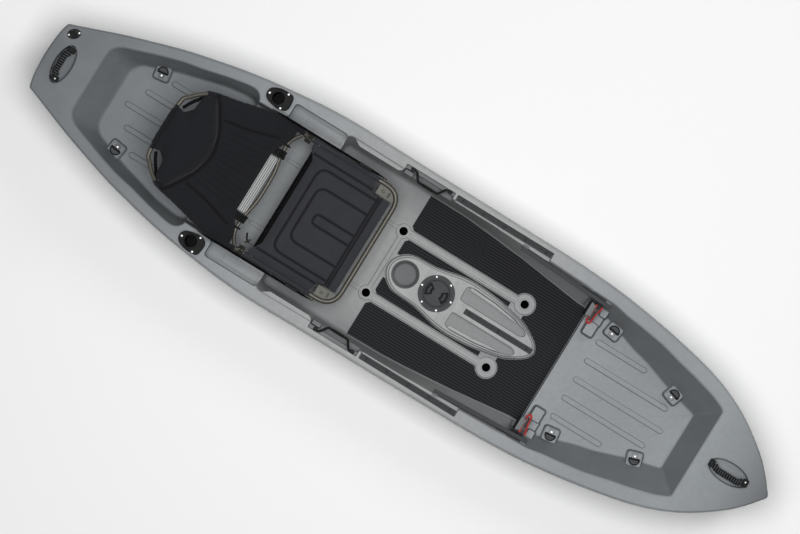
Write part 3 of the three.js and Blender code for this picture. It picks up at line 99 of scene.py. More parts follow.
SADDLE = dict(
    stern=-965, bow=-780, half=305, floor=250, rim=6, fillet=8, corner=10,
    rim_shares=((0, 1), (0.5, 1), (1, 1)), floor_shares=((0.02, 0.97), (0.5, 0.97), (0.98, 0.97)))

# Side pockets in the gunwales, port side
STEP = dict(stern=-790, bow=-525, inner=300, outer=385, floor=235, corner=16)
STEP_INSET = dict(stern=-715, bow=-540, inner=326, outer=370, depth=5, corner=10)
SHELF = dict(drop=22, outer=413, inner=370, corner=5)
TRACK_POCKET = dict(stern=12, bow=498)
HANDLE_POCKET = dict(stern=-245, bow=0, inner=340, outer=396, floor=268)
TRAY_RIB = dict(points=((273, 102), (290, 102), (403, 96), (480, 85), (520, 75), (518, 71), (480, 74),
                        (389, 84), (273, 88)), height=11)
LEDGE = dict(points=((-508, 396), (-462, 367), (-262, 367), (-246, 380), (-246, 396)), drop=13, low=240)
RECESS_BLOCK = dict(places=((-240, -198),), inner=372, outer=392, height=36)

# Forms raised from the floors
BOW_RIBS = dict(width=27, height=6, stern=855, pitch=94, bows=(1308, 1275, 1110))
STERN_RIBS = dict(width=27, height=6, bow=-960, pitch=90, sterns=(-1430, -1380, -1300))
SEAT_RIDGE = dict(width=20, height=3, y=158, stern=-705, bow=-125)
SCUPPERS = (dict(x=-108, y=157, ring=34, flare=41), dict(x=509, y=161, ring=47, flare=33))
SCUPPER = dict(radius=19, rim=26, ring_height=6, rim_height=8)
SCUPPER_RIDGE = dict(width=39, height=5, crown=20, crown_height=8)
CROSS_RIDGE = dict(width=20, height=5)
PADS = (
    dict(stern=775, bow=830, low=185, high=252, height=45),
    dict(stern=785, bow=835, low=240, high=300, height=20),
    dict(stern=800, bow=840, low=285, high=350, height=48),
)

# The console pod
POD = dict(
    stern=-91, bow=655, half=128, height=35, slope=9,
    shares=((0, 0), (0.006, 0.2), (0.03, 0.43), (0.07, 0.62), (0.122, 0.719), (0.256, 0.766), (0.39, 0.9375),
            (0.457, 0.992), (0.524, 1), (0.658, 0.9375), (0.792, 0.805), (0.873, 0.664), (0.953, 0.391),
            (0.987, 0.195), (1, 0)))
# The pod's side from its foot inwards: how far in, and how high from the floor, or from the top
POD_FOOT = (0.6, 8)
POD_EDGE = ((2.2, -14), (3.6, -9), (5.4, -6.6), (7.6, -5.8), (9.6, -6.4), (11, -7), (12.4, -6), (13.8, -2.8),
            (15.4, -0.7), (17.5, 0))
POD_TOP = COCKPIT["floor"] + POD["height"]
CUP = dict(x=-3, top=61, bottom=52, depth=78, rim=4, fillet=10)
TRAY = dict(stern=255, bow=585, low=30, high=105, depth=12, corner=12,
            shares=((0, 0.07), (0.03, 0), (0.94, 0), (1, 0.2), (0.95, 0.45), (0.75, 0.72), (0.45, 0.92),
                    (0.1, 1), (0, 0.9)))
HATCH = dict(steps=96, groove=((9, 0), (7, 0.8), (5, 0.8), (3.5, 0)), x=156, flange=81, hole=66, barrel=64,
             mouth=59, ledge=50, plate=5, barrel_depth=30,
             ledge_depth=9, ledge_thickness=3, edge=2, screws=6, screw_ring=73)
COVER = dict(well_fillet=1.5, well_edge=0.8, block_drop=0.8, block_edge=1.5,
    rim=((0, 1.2), (1.2, 0), (2.4, 0), (3, 0.9), (4, 0.9), (4.6, 0)), radius=57.5, crown=0.5, well_inner=21,
    well_outer=52, well_depth=7, well_half_angle=36,
             block=(31, 41.5, 26))
O_RING = dict(steps=64, sides=12, radius=54.5, section=1.75)
MAT = dict(stern=-86, bow=752, thickness=5, margin=3, pitch=12, rib=1.4, sliver_stern=-80, sliver_bow=452,
           sliver_inner=60, sliver_outer=141)

# Rails and tracks
SCREW_DOME = ((0, 0), (1, 0), (1, 0.25), (0.92, 0.62), (0.7, 0.9), (0.35, 1), (0, 1))
SCREW_DRIVE = dict(width=0.16, reach=0.62, floor=0.45)
SCREW = dict(radius=5, height=2.2)
TRACK = dict(edge=0.7, well_steps=24, well=((0, -6), (4.4, -6), (4.4, -2.2), (6.8, 0.2), (6.8, 4), (0, 4)),
             width=24, height=11, slot=9, lip=2.5, base=2.5, clearance=1)
SIDE_TRACK = dict(stern=16, bow=494, y=399, screw_pitch=105)
POD_TRACK = dict(stern=300, bow=642, depth=12, screw_pitch=145)
RAIL = dict(stern=365, bow=822, stern_y=362, bow_y=341, height=26, depth=18, plate=3, slot=13, z=315, seat=26,
            seat_depth=12)
NOTCH = dict(pitch=25, width=6, height=19)
CARRIAGE = dict(x=752, length=32, reach=11, height=30, shoe_height=19, shoe_depth=9, neck=11)
PEDAL = dict(width=68, height=88, thickness=12, corner=14, x=751, drop=27, bars=6, bar_pitch=12, back=13,
             tread=7)
PAD_POST = dict(x=779, y=244, radius=4, height=9)
BUNGEE = dict(diameter=9, lift=1, spread=9, shift=3)
RAIL_HOOK = dict(x=781, length=26, depth=11, height=14)

# Fittings let into the deck
ROD = dict(x=-867, y=361, bore=28, tube=30.5, hole=31, depth=190, plate=4, rebate=2, margin=5,
           boss_depth=70, boss_lift=3, cap=4, length=104, width=90,
           shares=((-0.55, 0.05), (-0.45, 0.3), (-0.1, 0.48), (0.3, 0.5), (0.52, 0.42), (0.6, 0.1),
                   (0.58, -0.25), (0.4, -0.42), (0.1, -0.46), (-0.3, -0.36), (-0.5, -0.2)),
           screws=((-45, 1), (29, 37), (29, -33)))
DRAIN = dict(head_steps=64, flute=0.9, head_slope=1.5, taper=0.9, coin_slot=(9, 1.6, 2.5), x=-1762, y=136,
             turn=40, length=60, width=44, plate=5, hole=12, sleeve=11.6, bore=9,
             sleeve_depth=22, head=14, head_height=7, shank=8.3, shank_depth=18, rebate=1.5, screw_span=23)
EYE = dict(skirt=(10, 12), boss_slope=9, sunk=(6, 4, 3), sunk_edge=1.2, base=42, plate=5, bar=3.5, rise=12,
           span=13, frame=2.5, half_length=25, bow_reach=26,
           tongue=13, boss_length=62, boss_width=56, boss_corner=14)
EYES = (
    dict(name="stern", x=-1358, y=194, turn=8, lift=22),
    dict(name="mid", x=897, y=262, turn=-8, lift=36),
    dict(name="bow", x=1262, y=162, turn=-18, lift=40),
)

# Where the hull is painted paler or darker: ranges of place, then the tone
# Below zero is painted shade in the trays, the cup and the handle and track pockets, and darker on the rail's
# end blocks and the stern tie-downs' feet; above zero is paler on the pod's top and the ridges' crowns
TONES = (
    ((250, 590), (28, 108), (POD_TOP - 14, POD_TOP - 4), -0.45),
    ((-66, 60), (0, 62), (POD_TOP - 90, POD_TOP - 70), -0.75),
    ((-95, 660), (0, 130), (POD_TOP - 1.5, POD_TOP + 1), 0.3),
    ((-130, 560), (100, 212), (133.5, 141), 0.3),
    ((-246, 1), (379, 414), (255, 330), -0.75),
    ((11, 499), (386, 414), (300, 330), -0.9),
    ((360, 400), (364, 379), (322, 331), -0.9),
    ((792, 830), (350, 366), (322, 331), -0.9),
    ((-1378, -1338), (160, 204), (215.5, 218), -1),
)

STEEP, INWARD = 0.8, 0.1
# Painted shade on the steep inward walls of the bow and stern wells and at their feet: ranges of place, then
# the tone
WALL_SHADES = (
    ((725, 1500), (0, 385), (205, 335), -0.6),
    ((725, 1500), (0, 385), (195.5, 203), -0.45),
    ((-1620, -930), (0, 385), (200, 335), -0.3),
    ((-1620, -930), (0, 385), (190.5, 198), -0.45),
)

# Carry handles
PIN_CLEAR = 0.35
END_HANDLE = dict(radius=13.5, pin=9, pin_radius=3.5, rise=9, lean=14, shoulder=16, rib=1.6, pitch=11)
ANCHOR = dict(length=26, width=34, height=18, corner=6)
BOW_HANDLE = dict(x=1630, half_span=70, pocket_length=95, pocket_width=46, depth=34)
STERN_HANDLE = dict(x=-1735, half_span=58, pocket_length=90, pocket_width=40, depth=34)
BAIL = dict(taper=8, sides=16, bend_steps=7, sleeve=5.2, sleeve_swell=1.5, sleeve_taper=12,
    sleeve_share=0.62, sleeve_steps=40, sleeve_sides=18, wave=0.5, waves=5, radius=4, swell=1.2, y=404,
    stern=-212, bow=-20, stern_knee=-190, bow_knee=-44, stern_grip=-166,
            bow_grip=-68, reach=36)
BRACKET = dict(length=20, width=15, height=15, pivot=9)

# The seat
SEAT = dict(tube=11, z=285, half=289, front=-197, rear=-690, corner=85, cross_x=-612, pivot_x=-665,
            pivot_z=312, recline=24)
LEG = dict(sleeves=((120, 170), (200, 226)), sleeve=0.2, sides=20, tube=9.5, front_x=-292, rear_x=-580,
           foot_half=268, bend=34)
BOLT = dict(clear=0.4, radius=5, head=9, head_height=5, plate=4, ear=15)
BACK = dict(
    tube=10, pivot_half=286, length=617,
    shares=((0, 1), (0.12, 1.03), (0.24, 1.035), (0.346, 1.007), (0.417, 0.965), (0.594, 0.874),
            (0.77, 0.8), (0.843, 0.724), (0.92, 0.58), (0.965, 0.4)),
    bar_shares=((0.06, 0.97), (0.113, 0.78), (0.108, 0.5), (0.086, 0.22)))
PAN = dict(rear=-610, front=-215, half=286, ear=30, ear_start=0.7, thickness=20, edge=6, count=(64, 90),
           swell=5,
           frames=((-558, -262, 205, 48), (-518, -275, 132, 44), (-468, -275, 24, 22)), bolster=238,
           front_seams=(-262, -275), widths=((0, 1), (0.745, 1), (0.785, 0.82), (1, 0.8)))
PANEL = dict(low=113, high=613, half=300, thickness=14, edge=5, count=(110, 90), swell=4, dip=50,
             dip_range=(0.45, 0.9),
             widths=((0, 0.965), (0.06, 0.98), (0.14, 1), (0.3, 0.96), (0.5, 0.86), (0.72, 0.79),
                     (0.798, 0.71),
                     (0.822, 0.7), (0.836, 0.61), (0.85, 0.46), (0.872, 0.39), (0.914, 0.34), (0.954, 0.35),
                     (1, 0.375)),
             bolster=((386, 156), (260, 178), (129, 216)), pleats=(150, 350), pleat_pitch=24, pleat_half=125)
HEADREST = dict(shade=15, low=352, high=611, half=232, thickness=10, crown=16, edge=4, count=(80, 76),
                swell=7,
                widths=((0, 0.08), (0.1, 0.45), (0.25, 0.72), (0.42, 1), (0.62, 0.92), (0.66, 0.905),
                        (0.69, 0.8), (0.72, 0.6), (0.76, 0.5), (0.84, 0.435), (0.92, 0.45), (1, 0.485)))
SEAM = dict(reach=13, depth=6.5)
FOLD = dict(reach=11, depth=2.4)
SWELL = dict(voxel=6, pressure=4, steps=20)
SLEEVE = dict(thickness=2.2, ripple=0.5, pitch=31, side=(-646, -312), top=114, back=(26, 508))
HEM = dict(inset=14, steps=12, around=6, radius=2.4, pitch=4.9)
CORNER_BAND = dict(steps=8, across=(0.82, 0.57),
    shares=((0.82, 0.71), (0.862, 0.6), (0.895, 0.5), (0.925, 0.38)), width=15, thickness=2, height=2)
LACE = dict(hem=16, clear=1, steps=24, around=8, bar_steps=6, radius=4.4, places=(149, 158, 167, 176, 207))
BAND = dict(rows=6, half_columns=20, crown=2, rear=-768, front=-731, half=138, thickness=2)
GUSSET_PLATE = dict(half=2, edge=0.8, slot_length=26, slot_width=9, slot_x=-243, slot_y=254)
GUSSET_SCREW = dict(radius=7, height=4, x=-272, y=256)
HOOK = dict(
    y=-238, ring=17.5, ring_cord=1.4, cord=1.2, rod=4.2, drop=14, knot=(-14, -12), end=-40,
    stem=((-39, -238), (-50, -234), (-60, -222), (-68, -203)), bar=((-40, -222), (-56, -246)),
    ring_steps=20, cord_sides=8, rod_sides=10, stem_steps=6)
GUSSET = ((-299, 279), (-236, 279), (-209, 246), (-216, 232), (-299, 232))
BOOT = dict(edge=3, steps=40, radius=15.6, inner=262, width=47)
STRAP = dict(width=25, thickness=2.5, twist=19, twist_rate=9, rear=-862, front=-284, lug=7, lug_inset=10)
STRAP_BEND = dict(start=-600, end=-730)
BUCKLE = dict(corner=0.6, edge=2.5, clear=0.4, x=-395, length=66, thickness=12, height=34)
EAR_Y = SEAT["half"] - SEAT["tube"] + BOLT["plate"] / 2
HUB_Y = EAR_Y + BOLT["plate"] / 2 + GAP + BACK["tube"]


# Outlines and paths
def v3(x, y, z=0.0):
    return Vector((x, y, z))


def bezier(a, b, c, steps):
    """Points of a bend from a to c that is drawn towards b."""
    return [a * (1 - t) ** 2 + b * (2 * t * (1 - t)) + c * t * t
            for t in (k / steps for k in range(steps + 1))]


def smooth_line(points, steps, closed=False):
    """A curve through the points, with that many steps between each pair."""
    count = len(points)
    at = (lambda i: points[i % count]) if closed else (lambda i: points[max(0, min(count - 1, i))])
    line = []
    for i in range(count if closed else count - 1):
        a, b, c, d = at(i - 1), at(i), at(i + 1), at(i + 2)
        for k in range(steps):
            t = k / steps
            line.append(0.5 * (2 * b + (c - a) * t + (2 * a - 5 * b + 4 * c - d) * t * t
                               + (3 * b - a - 3 * c + d) * t ** 3))
    return line if closed else line + [points[-1].copy()]


def bent_line(corners, radius, steps=5):
    """Straight runs with a bend at each corner."""
    line = [corners[0]]
    for before, corner, after in zip(corners, corners[1:], corners[2:]):
        first = corner + (before - corner).normalized() * radius
        last = corner + (after - corner).normalized() * radius
        line += bezier(first, corner, last, steps)
    return line + [corners[-1]]


def rounded(points, radius, steps=4):
    """A closed outline with its corners rounded, as far as its edges allow."""
    count = len(points)
    loop = []
    for i, corner in enumerate(points):
        before, after = points[i - 1] - corner, points[(i + 1) % count] - corner
        first = corner + before.normalized() * min(radius, 0.48 * before.length)
        last = corner + after.normalized() * min(radius, 0.48 * after.length)
        loop += bezier(first, corner, last, steps)
    return loop


def grown(loop, amount):
    """A closed outline moved outwards; it runs clockwise or anticlockwise."""
    area = sum(a.x * b.y - b.x * a.y for a, b in zip(loop, loop[1:] + loop[:1]))
    sign = 1 if area > 0 else -1
    count = len(loop)
    result = []
    for i, p in enumerate(loop):
        before = (p - loop[i - 1]).normalized()
        after = (loop[(i + 1) % count] - p).normalized()
        a, b = v3(before.y, -before.x), v3(after.y, -after.x)
        result.append(p + (a + b) * (sign * amount / max(0.35, 1 + a.dot(b))))
    return result


def raised(loop, z):
    """The outline at a height, which may be a function of the place along the hull."""
    return [v3(p.x, p.y, z(p.x) if callable(z) else z) for p in loop]


def both_halves(half):
    """The closed outline of a port half that runs from stern to bow."""
    return half + [v3(p.x, -p.y) for p in reversed(half) if p.y > 0]


def rectangle(stern, bow, low, high):
    return [v3(stern, low), v3(bow, low), v3(bow, high), v3(stern, high)]


def soft_rectangle(length, width, corner, steps=4):
    return rounded(rectangle(-length / 2, length / 2, -width / 2, width / 2), corner, steps)


def ellipse(half_x, half_y, steps=48):
    return [v3(half_x * math.cos(TURN * k / steps), half_y * math.sin(TURN * k / steps))
            for k in range(steps)]


def pill(length, width, steps=8):
    radius = width / 2
    reach = length / 2 - radius
    bow = [v3(reach + radius * math.cos(a), radius * math.sin(a))
           for a in (TURN * (k / steps - 0.5) / 2 for k in range(steps + 1))]
    return bow + [v3(-p.x, -p.y) for p in bow]


def placed(loop, x, y, z=0.0, turn=0.0):
    spin = Matrix.Rotation(math.radians(turn), 3, "Z")
    return [spin @ p + v3(x, y, z) for p in loop]


def deck_height(x):
    share = x / HALF_LENGTH
    return HULL["depth"] + (HULL["bow_sheer"] if share > 0 else HULL["stern_sheer"]) * share * share


def deck(x):
    return deck_height(x / LEVEL_SHARES[-1][0])


def deck_pitch(x):
    return -math.atan2(deck_height(x + HULL["wall"]) - deck_height(x - HULL["wall"]), 2 * HULL["wall"])


def keel_height(x):
    flat_half = HULL["flat_bottom"] / 2
    share = max(0.0, (abs(x) - flat_half) / (HALF_LENGTH - flat_half))
    return (HULL["bow_rocker"] if x > 0 else HULL["stern_rocker"]) * share * share


SHELF_Z = deck_height(TRACK_POCKET["stern"]) - SHELF["drop"]


# Solids
def sheet(bm, rows):
    """A net of faces through rows of points, added to a mesh."""
    made = bmesh.ops.create_grid(bm, x_segments=len(rows[0]) - 1, y_segments=len(rows) - 1, size=1)["verts"]
    for vert, point in zip(made, (point for row in rows for point in row)):
        vert.co = point


def closed(bm):
    """Joins what meets, fills the open ends and turns the faces outwards."""
    bmesh.ops.remove_doubles(bm, verts=bm.verts, dist=WELD)
    bmesh.ops.holes_fill(bm, edges=[edge for edge in bm.edges if edge.is_boundary], sides=0)
    bmesh.ops.recalc_face_normals(bm, faces=bm.faces)
    return bm


def loft(rings):
    """A closed skin over rings that have as many points each, with flat ends."""
    bm = bmesh.new()
    sheet(bm, [ring + ring[:1] for ring in rings])
    return closed(bm)


def symmetric_loft(halves):
    """A closed skin over port halves from stern to bow and their mirror images, with ends in strips."""
    bm = bmesh.new()
    others = [[v3(p.x, -p.y, p.z) for p in half] for half in halves]
    sheet(bm, [half + list(reversed(other)) + half[:1] for half, other in zip(halves, others)])
    for end in (0, -1):
        sheet(bm, [halves[end], others[end]])
    return closed(bm)


def prism(loop, low, high):
    """A straight solid over an outline."""
    return loft([raised(loop, low), raised(loop, high)])


def spun(profile, x=0, y=0, z=0, steps=64):
    """A turned solid from points of radius and height, which start and end on the axis or meet."""
    bm = bmesh.new()
    verts = [bm.verts.new(v3(radius, 0, height)) for radius, height in profile]
    edges = [bm.edges.new(pair) for pair in zip(verts, verts[1:])]
    bmesh.ops.spin(bm, geom=verts + edges, cent=v3(0, 0), axis=v3(0, 0, 1), dvec=v3(0, 0), angle=TURN,
                   steps=steps, use_merge=True, use_normal_flip=False, use_duplicate=False)
    bmesh.ops.remove_doubles(bm, verts=bm.verts, dist=WELD)
    bmesh.ops.recalc_face_normals(bm, faces=bm.faces)
    return moved(bm, x, y, z)


def tube(path, radius, sides=16, looped=False):
    """A round bar along a path; the radius may be a function of the share of the way."""
    count = len(path)
    size = radius if callable(radius) else lambda share: radius
    rings = []
    side = None
    for i, point in enumerate(path):
        before = path[i - 1] if i or looped else path[0]
        after = path[(i + 1) % count] if i + 1 < count or looped else path[-1]
        along = (after - before).normalized()
        if side is None:
            side = along.orthogonal().normalized()
        side = (side - along * side.dot(along)).normalized()
        up = along.cross(side)
        r = size(i / (count - 1))
        angles = (TURN * k / sides for k in range(sides))
        rings.append([point + side * (r * math.cos(a)) + up * (r * math.sin(a)) for a in angles])
    return loft(rings + rings[:1] if looped else rings)


def moved(bm, x, y, z=0.0):
    bmesh.ops.translate(bm, vec=v3(x, y, z), verts=bm.verts)
    return bm


def turned(bm, degrees, axis="Z"):
    spin = Matrix.Rotation(math.radians(degrees), 3, axis)
    bmesh.ops.rotate(bm, cent=v3(0, 0), matrix=spin, verts=bm.verts)
    return bm


def joined(*parts):
    """Several meshes as one, each left as it is."""
    whole = parts[0]
    for part in parts[1:]:
        mesh = bpy.data.meshes.new("part")
        part.to_mesh(mesh)
        part.free()
        whole.from_mesh(mesh)
        bpy.data.meshes.remove(mesh)
    return whole


def flipped(bm):
    """The starboard copy of a port mesh."""
    copy = bm.copy()
    bmesh.ops.scale(copy, vec=v3(1, -1, 1), verts=copy.verts)
    bmesh.ops.reverse_faces(copy, faces=copy.faces)
    return copy


def both_sides(bm):
    return joined(bm, flipped(bm))


def bevelled(bm, width, segments=2, angle=40):
    """Rounds the edges that turn by more than an angle."""
    limit = math.radians(angle)
    edges = [edge for edge in bm.edges if edge.is_manifold and edge.calc_face_angle() > limit]
    bmesh.ops.bevel(bm, geom=edges, offset=width, segments=segments, profile=0.5, affect="EDGES", material=-1,
                    clamp_overlap=True)
    return bm


def plain_object(bm, name):
    mesh = bpy.data.meshes.new(name)
    bm.to_mesh(mesh)
    bm.free()
    made = bpy.data.objects.new(name, mesh)
    bpy.context.scene.collection.objects.link(made)
    return made


def applied(obj):
    """The object's mesh with its modifiers worked in, and the object itself gone."""
    bm = bmesh.new()
    bm.from_object(obj, bpy.context.evaluated_depsgraph_get())
    mesh = obj.data
    bpy.data.objects.remove(obj)
    bpy.data.meshes.remove(mesh)
    return bm


def combined(body, tools, operation):
    """Joins tools to a body, cuts them from it or keeps what they share."""
    for tool in tools:
        base, other = plain_object(body, "base"), plain_object(tool, "tool")
        change = base.modifiers.new("change", "BOOLEAN")
        change.operation, change.solver, change.object = operation, "MANIFOLD", other
        body = applied(base)
        mesh = other.data
        bpy.data.objects.remove(other)
        bpy.data.meshes.remove(mesh)
    return body


def cut(body, *tools):
    return combined(body, tools, "DIFFERENCE")


def added(body, *tools):
    return combined(body, tools, "UNION")


def mound(loop, floor, height, slope=6, root=ROOT, steps=6):
    """A raised form with softly rounded sides."""
    rings = [raised(grown(loop, slope / 2), floor - root)]
    for k in range(steps + 1):
        share = k / steps
        rings.append(raised(grown(loop, slope * (0.5 - share)),
                            floor + height * share * share * (3 - 2 * share)))
    return loft(rings)


# The hull
def hull_half():
    port = [v3(u * HALF_LENGTH, v * HALF_BEAM) for u, v in OUTLINE_SHARES]
    whole = port + [v3(p.x, -p.y) for p in reversed(port[1:-1])]
    return smooth_line(whole, OUTLINE_STEPS, closed=True)[:(len(port) - 1) * OUTLINE_STEPS + 1]


def hull_body(inset, end_inset, levels, half):
    length_share, width_share = 1 - end_inset / HALF_LENGTH, 1 - inset / HALF_BEAM
    halves = []
    for along, across, up in levels:
        ring = []
        for p in half:
            low, high = keel_height(p.x) + inset, deck_height(p.x) - inset
            ring.append(v3(p.x * along * length_share, p.y * across * width_share, low + up * (high - low)))
        halves.append(ring)
    return symmetric_loft(halves)


def hull_outside():
    levels = smooth_line([v3(*level) for level in LEVEL_SHARES], 3)
    return hull_body(0, 0, levels, hull_half())


def hull_inside():
    coarse = [v3(u * HALF_LENGTH, v * HALF_BEAM) for u, v in OUTLINE_SHARES[::2]]
    return hull_body(HULL["wall"], HULL["end_wall"],
                     [level for i, level in enumerate(LEVEL_SHARES) if i not in (5, 6)], coarse)


def flat_faced(bm):
    """Cuts a form's faces into triangles, so that no bent face is left where others meet it."""
    bmesh.ops.triangulate(bm, faces=bm.faces)
    return bm


def basin_loops(basin):
    def loop(shares, corner):
        half = [v3(basin["stern"] + u * (basin["bow"] - basin["stern"]), v * basin["half"]) for u,
                v in shares]
        return rounded(both_halves(half), corner)
    return loop(basin["floor_shares"], basin["corner"]), loop(basin["rim_shares"], basin["corner"])


def basin_cutter(basin, grow=0):
    """What a basin takes out of the hull, with a filleted floor and rounded rim, or grown for the hollow."""
    foot, rim = basin_loops(basin)
    low = basin["floor"] - grow
    if grow:
        rim = grown(rim, grow)
        return flat_faced(loft([raised(grown(foot, grow), low), raised(rim, deck),
                                raised(rim, HULL["depth"] * 1.3)]))

    def wall(rise, outwards):
        ring = []
        for a, b in zip(foot, rim):
            share = rise(b.x) / (deck(b.x) - low)
            ring.append(v3(a.x + (b.x - a.x) * share, a.y + (b.y - a.y) * share, low + rise(b.x)))
        heights = [p.z for p in ring]
        return [v3(p.x, p.y, z) for p, z in zip(grown(ring, outwards), heights)]

    fillet, edge = basin["fillet"], basin["rim"]
    angles = [TURN / 4 * k / ARC_STEPS for k in range(ARC_STEPS + 1)]
    rings = [wall(lambda x, a=a: fillet * (1 - math.cos(a)), -fillet * (1 - math.sin(a))) for a in angles]
    rings += [wall(lambda x, a=a: deck(x) - low - edge * (1 - math.sin(a)), edge * (1 - math.cos(a)))
              for a in angles]
    return flat_faced(loft(rings + [raised(rings[-1], HULL["depth"] * 1.3)]))


def pod_half(inset):
    middle, half = (POD["stern"] + POD["bow"]) / 2, (POD["bow"] - POD["stern"]) / 2
    line = [v3(middle + (2 * u - 1) * (half - inset), v * (POD["half"] - inset)) for u, v in POD["shares"]]
    return smooth_line(line, 3)


def pod_body(grow=0):
    """The console's raised body: an outer lip, a groove and the plateau."""
    floor = COCKPIT["floor"]
    if grow:
        return symmetric_loft([raised(pod_half(grow), floor - OVERRUN), raised(pod_half(grow), floor - grow),
                               raised(pod_half(grow + POD["slope"]), POD_TOP - grow)])
    rings = [raised(pod_half(inset), floor + z) for inset, z in ((0, -OVERRUN), (0, 0), POD_FOOT)]
    rings += [raised(pod_half(inset), POD_TOP + z) for inset, z in POD_EDGE]
    return symmetric_loft(rings)


def recess(loop, low, top, edge=2, fillet=3, grow=0):
    """What a small recess takes out, with a rounded floor and rim."""
    if grow:
        return prism(grown(loop, grow), low - grow, HULL["depth"] * 1.3)
    height = top if callable(top) else lambda x: top
    rings = [raised(grown(loop, -fillet), low), raised(grown(loop, -fillet * 0.4), low + fillet * 0.2),
             raised(loop, low + fillet)]
    for outwards, drop in ((0, 1), (0.3, 0.3), (1, 0)):
        rings.append(raised(grown(loop, edge * outwards), lambda x: height(x) - edge * drop))
    return loft(rings + [raised(rings[-1], HULL["depth"] * 1.3)])


def side_recess(pocket, inner, outer, low, corner, grow=0):
    loop = rounded(rectangle(pocket["stern"], pocket["bow"], inner, outer), corner)
    return both_sides(recess(loop, low, deck, grow=grow))


def end_pocket(handle, along, grow=0):
    """An oval pocket under a carry handle, with the seats of its anchors left standing."""
    half_x, half_y = handle["pocket_length"] + grow, handle["pocket_width"] + grow
    loop = placed(ellipse(half_x, half_y) if along else ellipse(half_y, half_x), handle["x"], 0)
    body = recess(loop, deck_height(handle["x"]) - handle["depth"], deck, edge=5, fillet=8) if not grow else \
        prism(loop, deck_height(handle["x"]) - handle["depth"] - grow, HULL["depth"] * 1.3)
    inner = handle["half_span"] + grow
    length = handle["half_span"] + ANCHOR["length"] + ROOT - inner
    for end in (-1, 1):
        place = end * (inner + length / 2)
        size = (length, ANCHOR["width"] - grow) if along else (ANCHOR["width"] - grow, length)
        seat = placed(soft_rectangle(*size, ANCHOR["corner"]), handle["x"] + (place if along else 0),
                      0 if along else place)
        top = (deck(handle["x"] + place * (1 if along else 0))) - grow
        body = cut(body, prism(seat, top - 2 * handle["depth"], top))
    return body


def tray_loop():
    width, length = TRAY["high"] - TRAY["low"], TRAY["bow"] - TRAY["stern"]
    points = [v3(TRAY["stern"] + u * length, TRAY["low"] + v * width) for u, v in TRAY["shares"]]
    return rounded(points, TRAY["corner"])


def cup_cutter(grow=0):
    wall, edge, fillet = CUP["top"] + grow, CUP["rim"], CUP["fillet"]
    bottom, low = CUP["bottom"] + grow, -CUP["depth"] - grow
    if grow:
        return spun([(0, low), (bottom, low), (wall, 0), (wall, OVERRUN), (0, OVERRUN)], CUP["x"], 0, POD_TOP)
    profile = [(0, low), (bottom - fillet, low), (bottom - 3, low + 3), (bottom, low + fillet), (wall, -edge)]
    profile += [(wall + 1, -1), (wall + edge, 0), (wall + edge, OVERRUN), (0, OVERRUN)]
    return spun(profile, CUP["x"], 0, POD_TOP)


def track_slot(grow=0):
    reach = TRACK["width"] / 2 + TRACK["clearance"]
    loop = rectangle(POD_TRACK["stern"] - GAP, POD_TRACK["bow"] + GAP, -reach, reach)
    return recess(loop, POD_TOP - POD_TRACK["depth"], POD_TOP, edge=1, fillet=1, grow=grow)


def deck_cutter(grow=0):
    """All that opens the hull from above."""
    shelf = (SHELF["inner"], SHELF["outer"], SHELF_Z, SHELF["corner"], grow)
    basins = [basin_cutter(basin, grow) for basin in (COCKPIT, SEAT_WELL, BOW_WELL, STERN_WELL, SADDLE)]
    sides = [
        side_recess(STEP, STEP["inner"], STEP["outer"], STEP["floor"], STEP["corner"], grow),
        side_recess(STEP_INSET, STEP_INSET["inner"], STEP_INSET["outer"], STEP["floor"] - STEP_INSET["depth"],
                    STEP_INSET["corner"], grow),
        side_recess(TRACK_POCKET, *shelf),
        side_recess(HANDLE_POCKET, *shelf),
        side_recess(HANDLE_POCKET, HANDLE_POCKET["inner"], HANDLE_POCKET["outer"], HANDLE_POCKET["floor"],
                    12, grow),
    ]
    body = added(basins[0], *basins[1:], *sides)
    body = cut(body, pod_body(grow))
    tray = recess(tray_loop(), POD_TOP - TRAY["depth"], POD_TOP, edge=3, fillet=5, grow=grow)
    return added(body, cup_cutter(grow), both_sides(tray), track_slot(grow),
                 end_pocket(BOW_HANDLE, True, grow), end_pocket(STERN_HANDLE, False, grow))


def scupper_cutters(grow=0):
    radius = SCUPPER["radius"] + grow
    return [both_sides(prism(placed(ellipse(radius, radius, 32), place["x"], place["y"]), -OVERRUN,
                             COCKPIT["floor"] + OVERRUN)) for place in SCUPPERS]


def tunnel_cutter(grow=0):
    half = TUNNEL["width"] / 2 + grow
    loop = rectangle(TUNNEL["stern"] - grow, TUNNEL["bow"] + grow, -half, half)
    return prism(loop, -OVERRUN, TUNNEL["height"] + grow)


def rib_mound(stern, bow, y, rib, floor):
    loop = placed(pill(bow - stern, rib["width"] - 4), (stern + bow) / 2, y)
    return mound(loop, floor, rib["height"], slope=5)


def floor_ribs():
    bow = [(BOW_RIBS["stern"], end, BOW_RIBS["pitch"] * k, BOW_RIBS, BOW_WELL["floor"])
           for k, end in enumerate(BOW_RIBS["bows"])]
    stern = [(end, STERN_RIBS["bow"], STERN_RIBS["pitch"] * k, STERN_RIBS, STERN_WELL["floor"])
             for k, end in enumerate(STERN_RIBS["sterns"])]
    ribs = []
    for place in bow + stern:
        rib = rib_mound(*place)
        ribs.append(both_sides(rib) if place[2] else rib)
    seat = SEAT_RIDGE
    ribs.append(both_sides(rib_mound(seat["stern"], seat["bow"], seat["y"], seat, COCKPIT["floor"])))
    return ribs


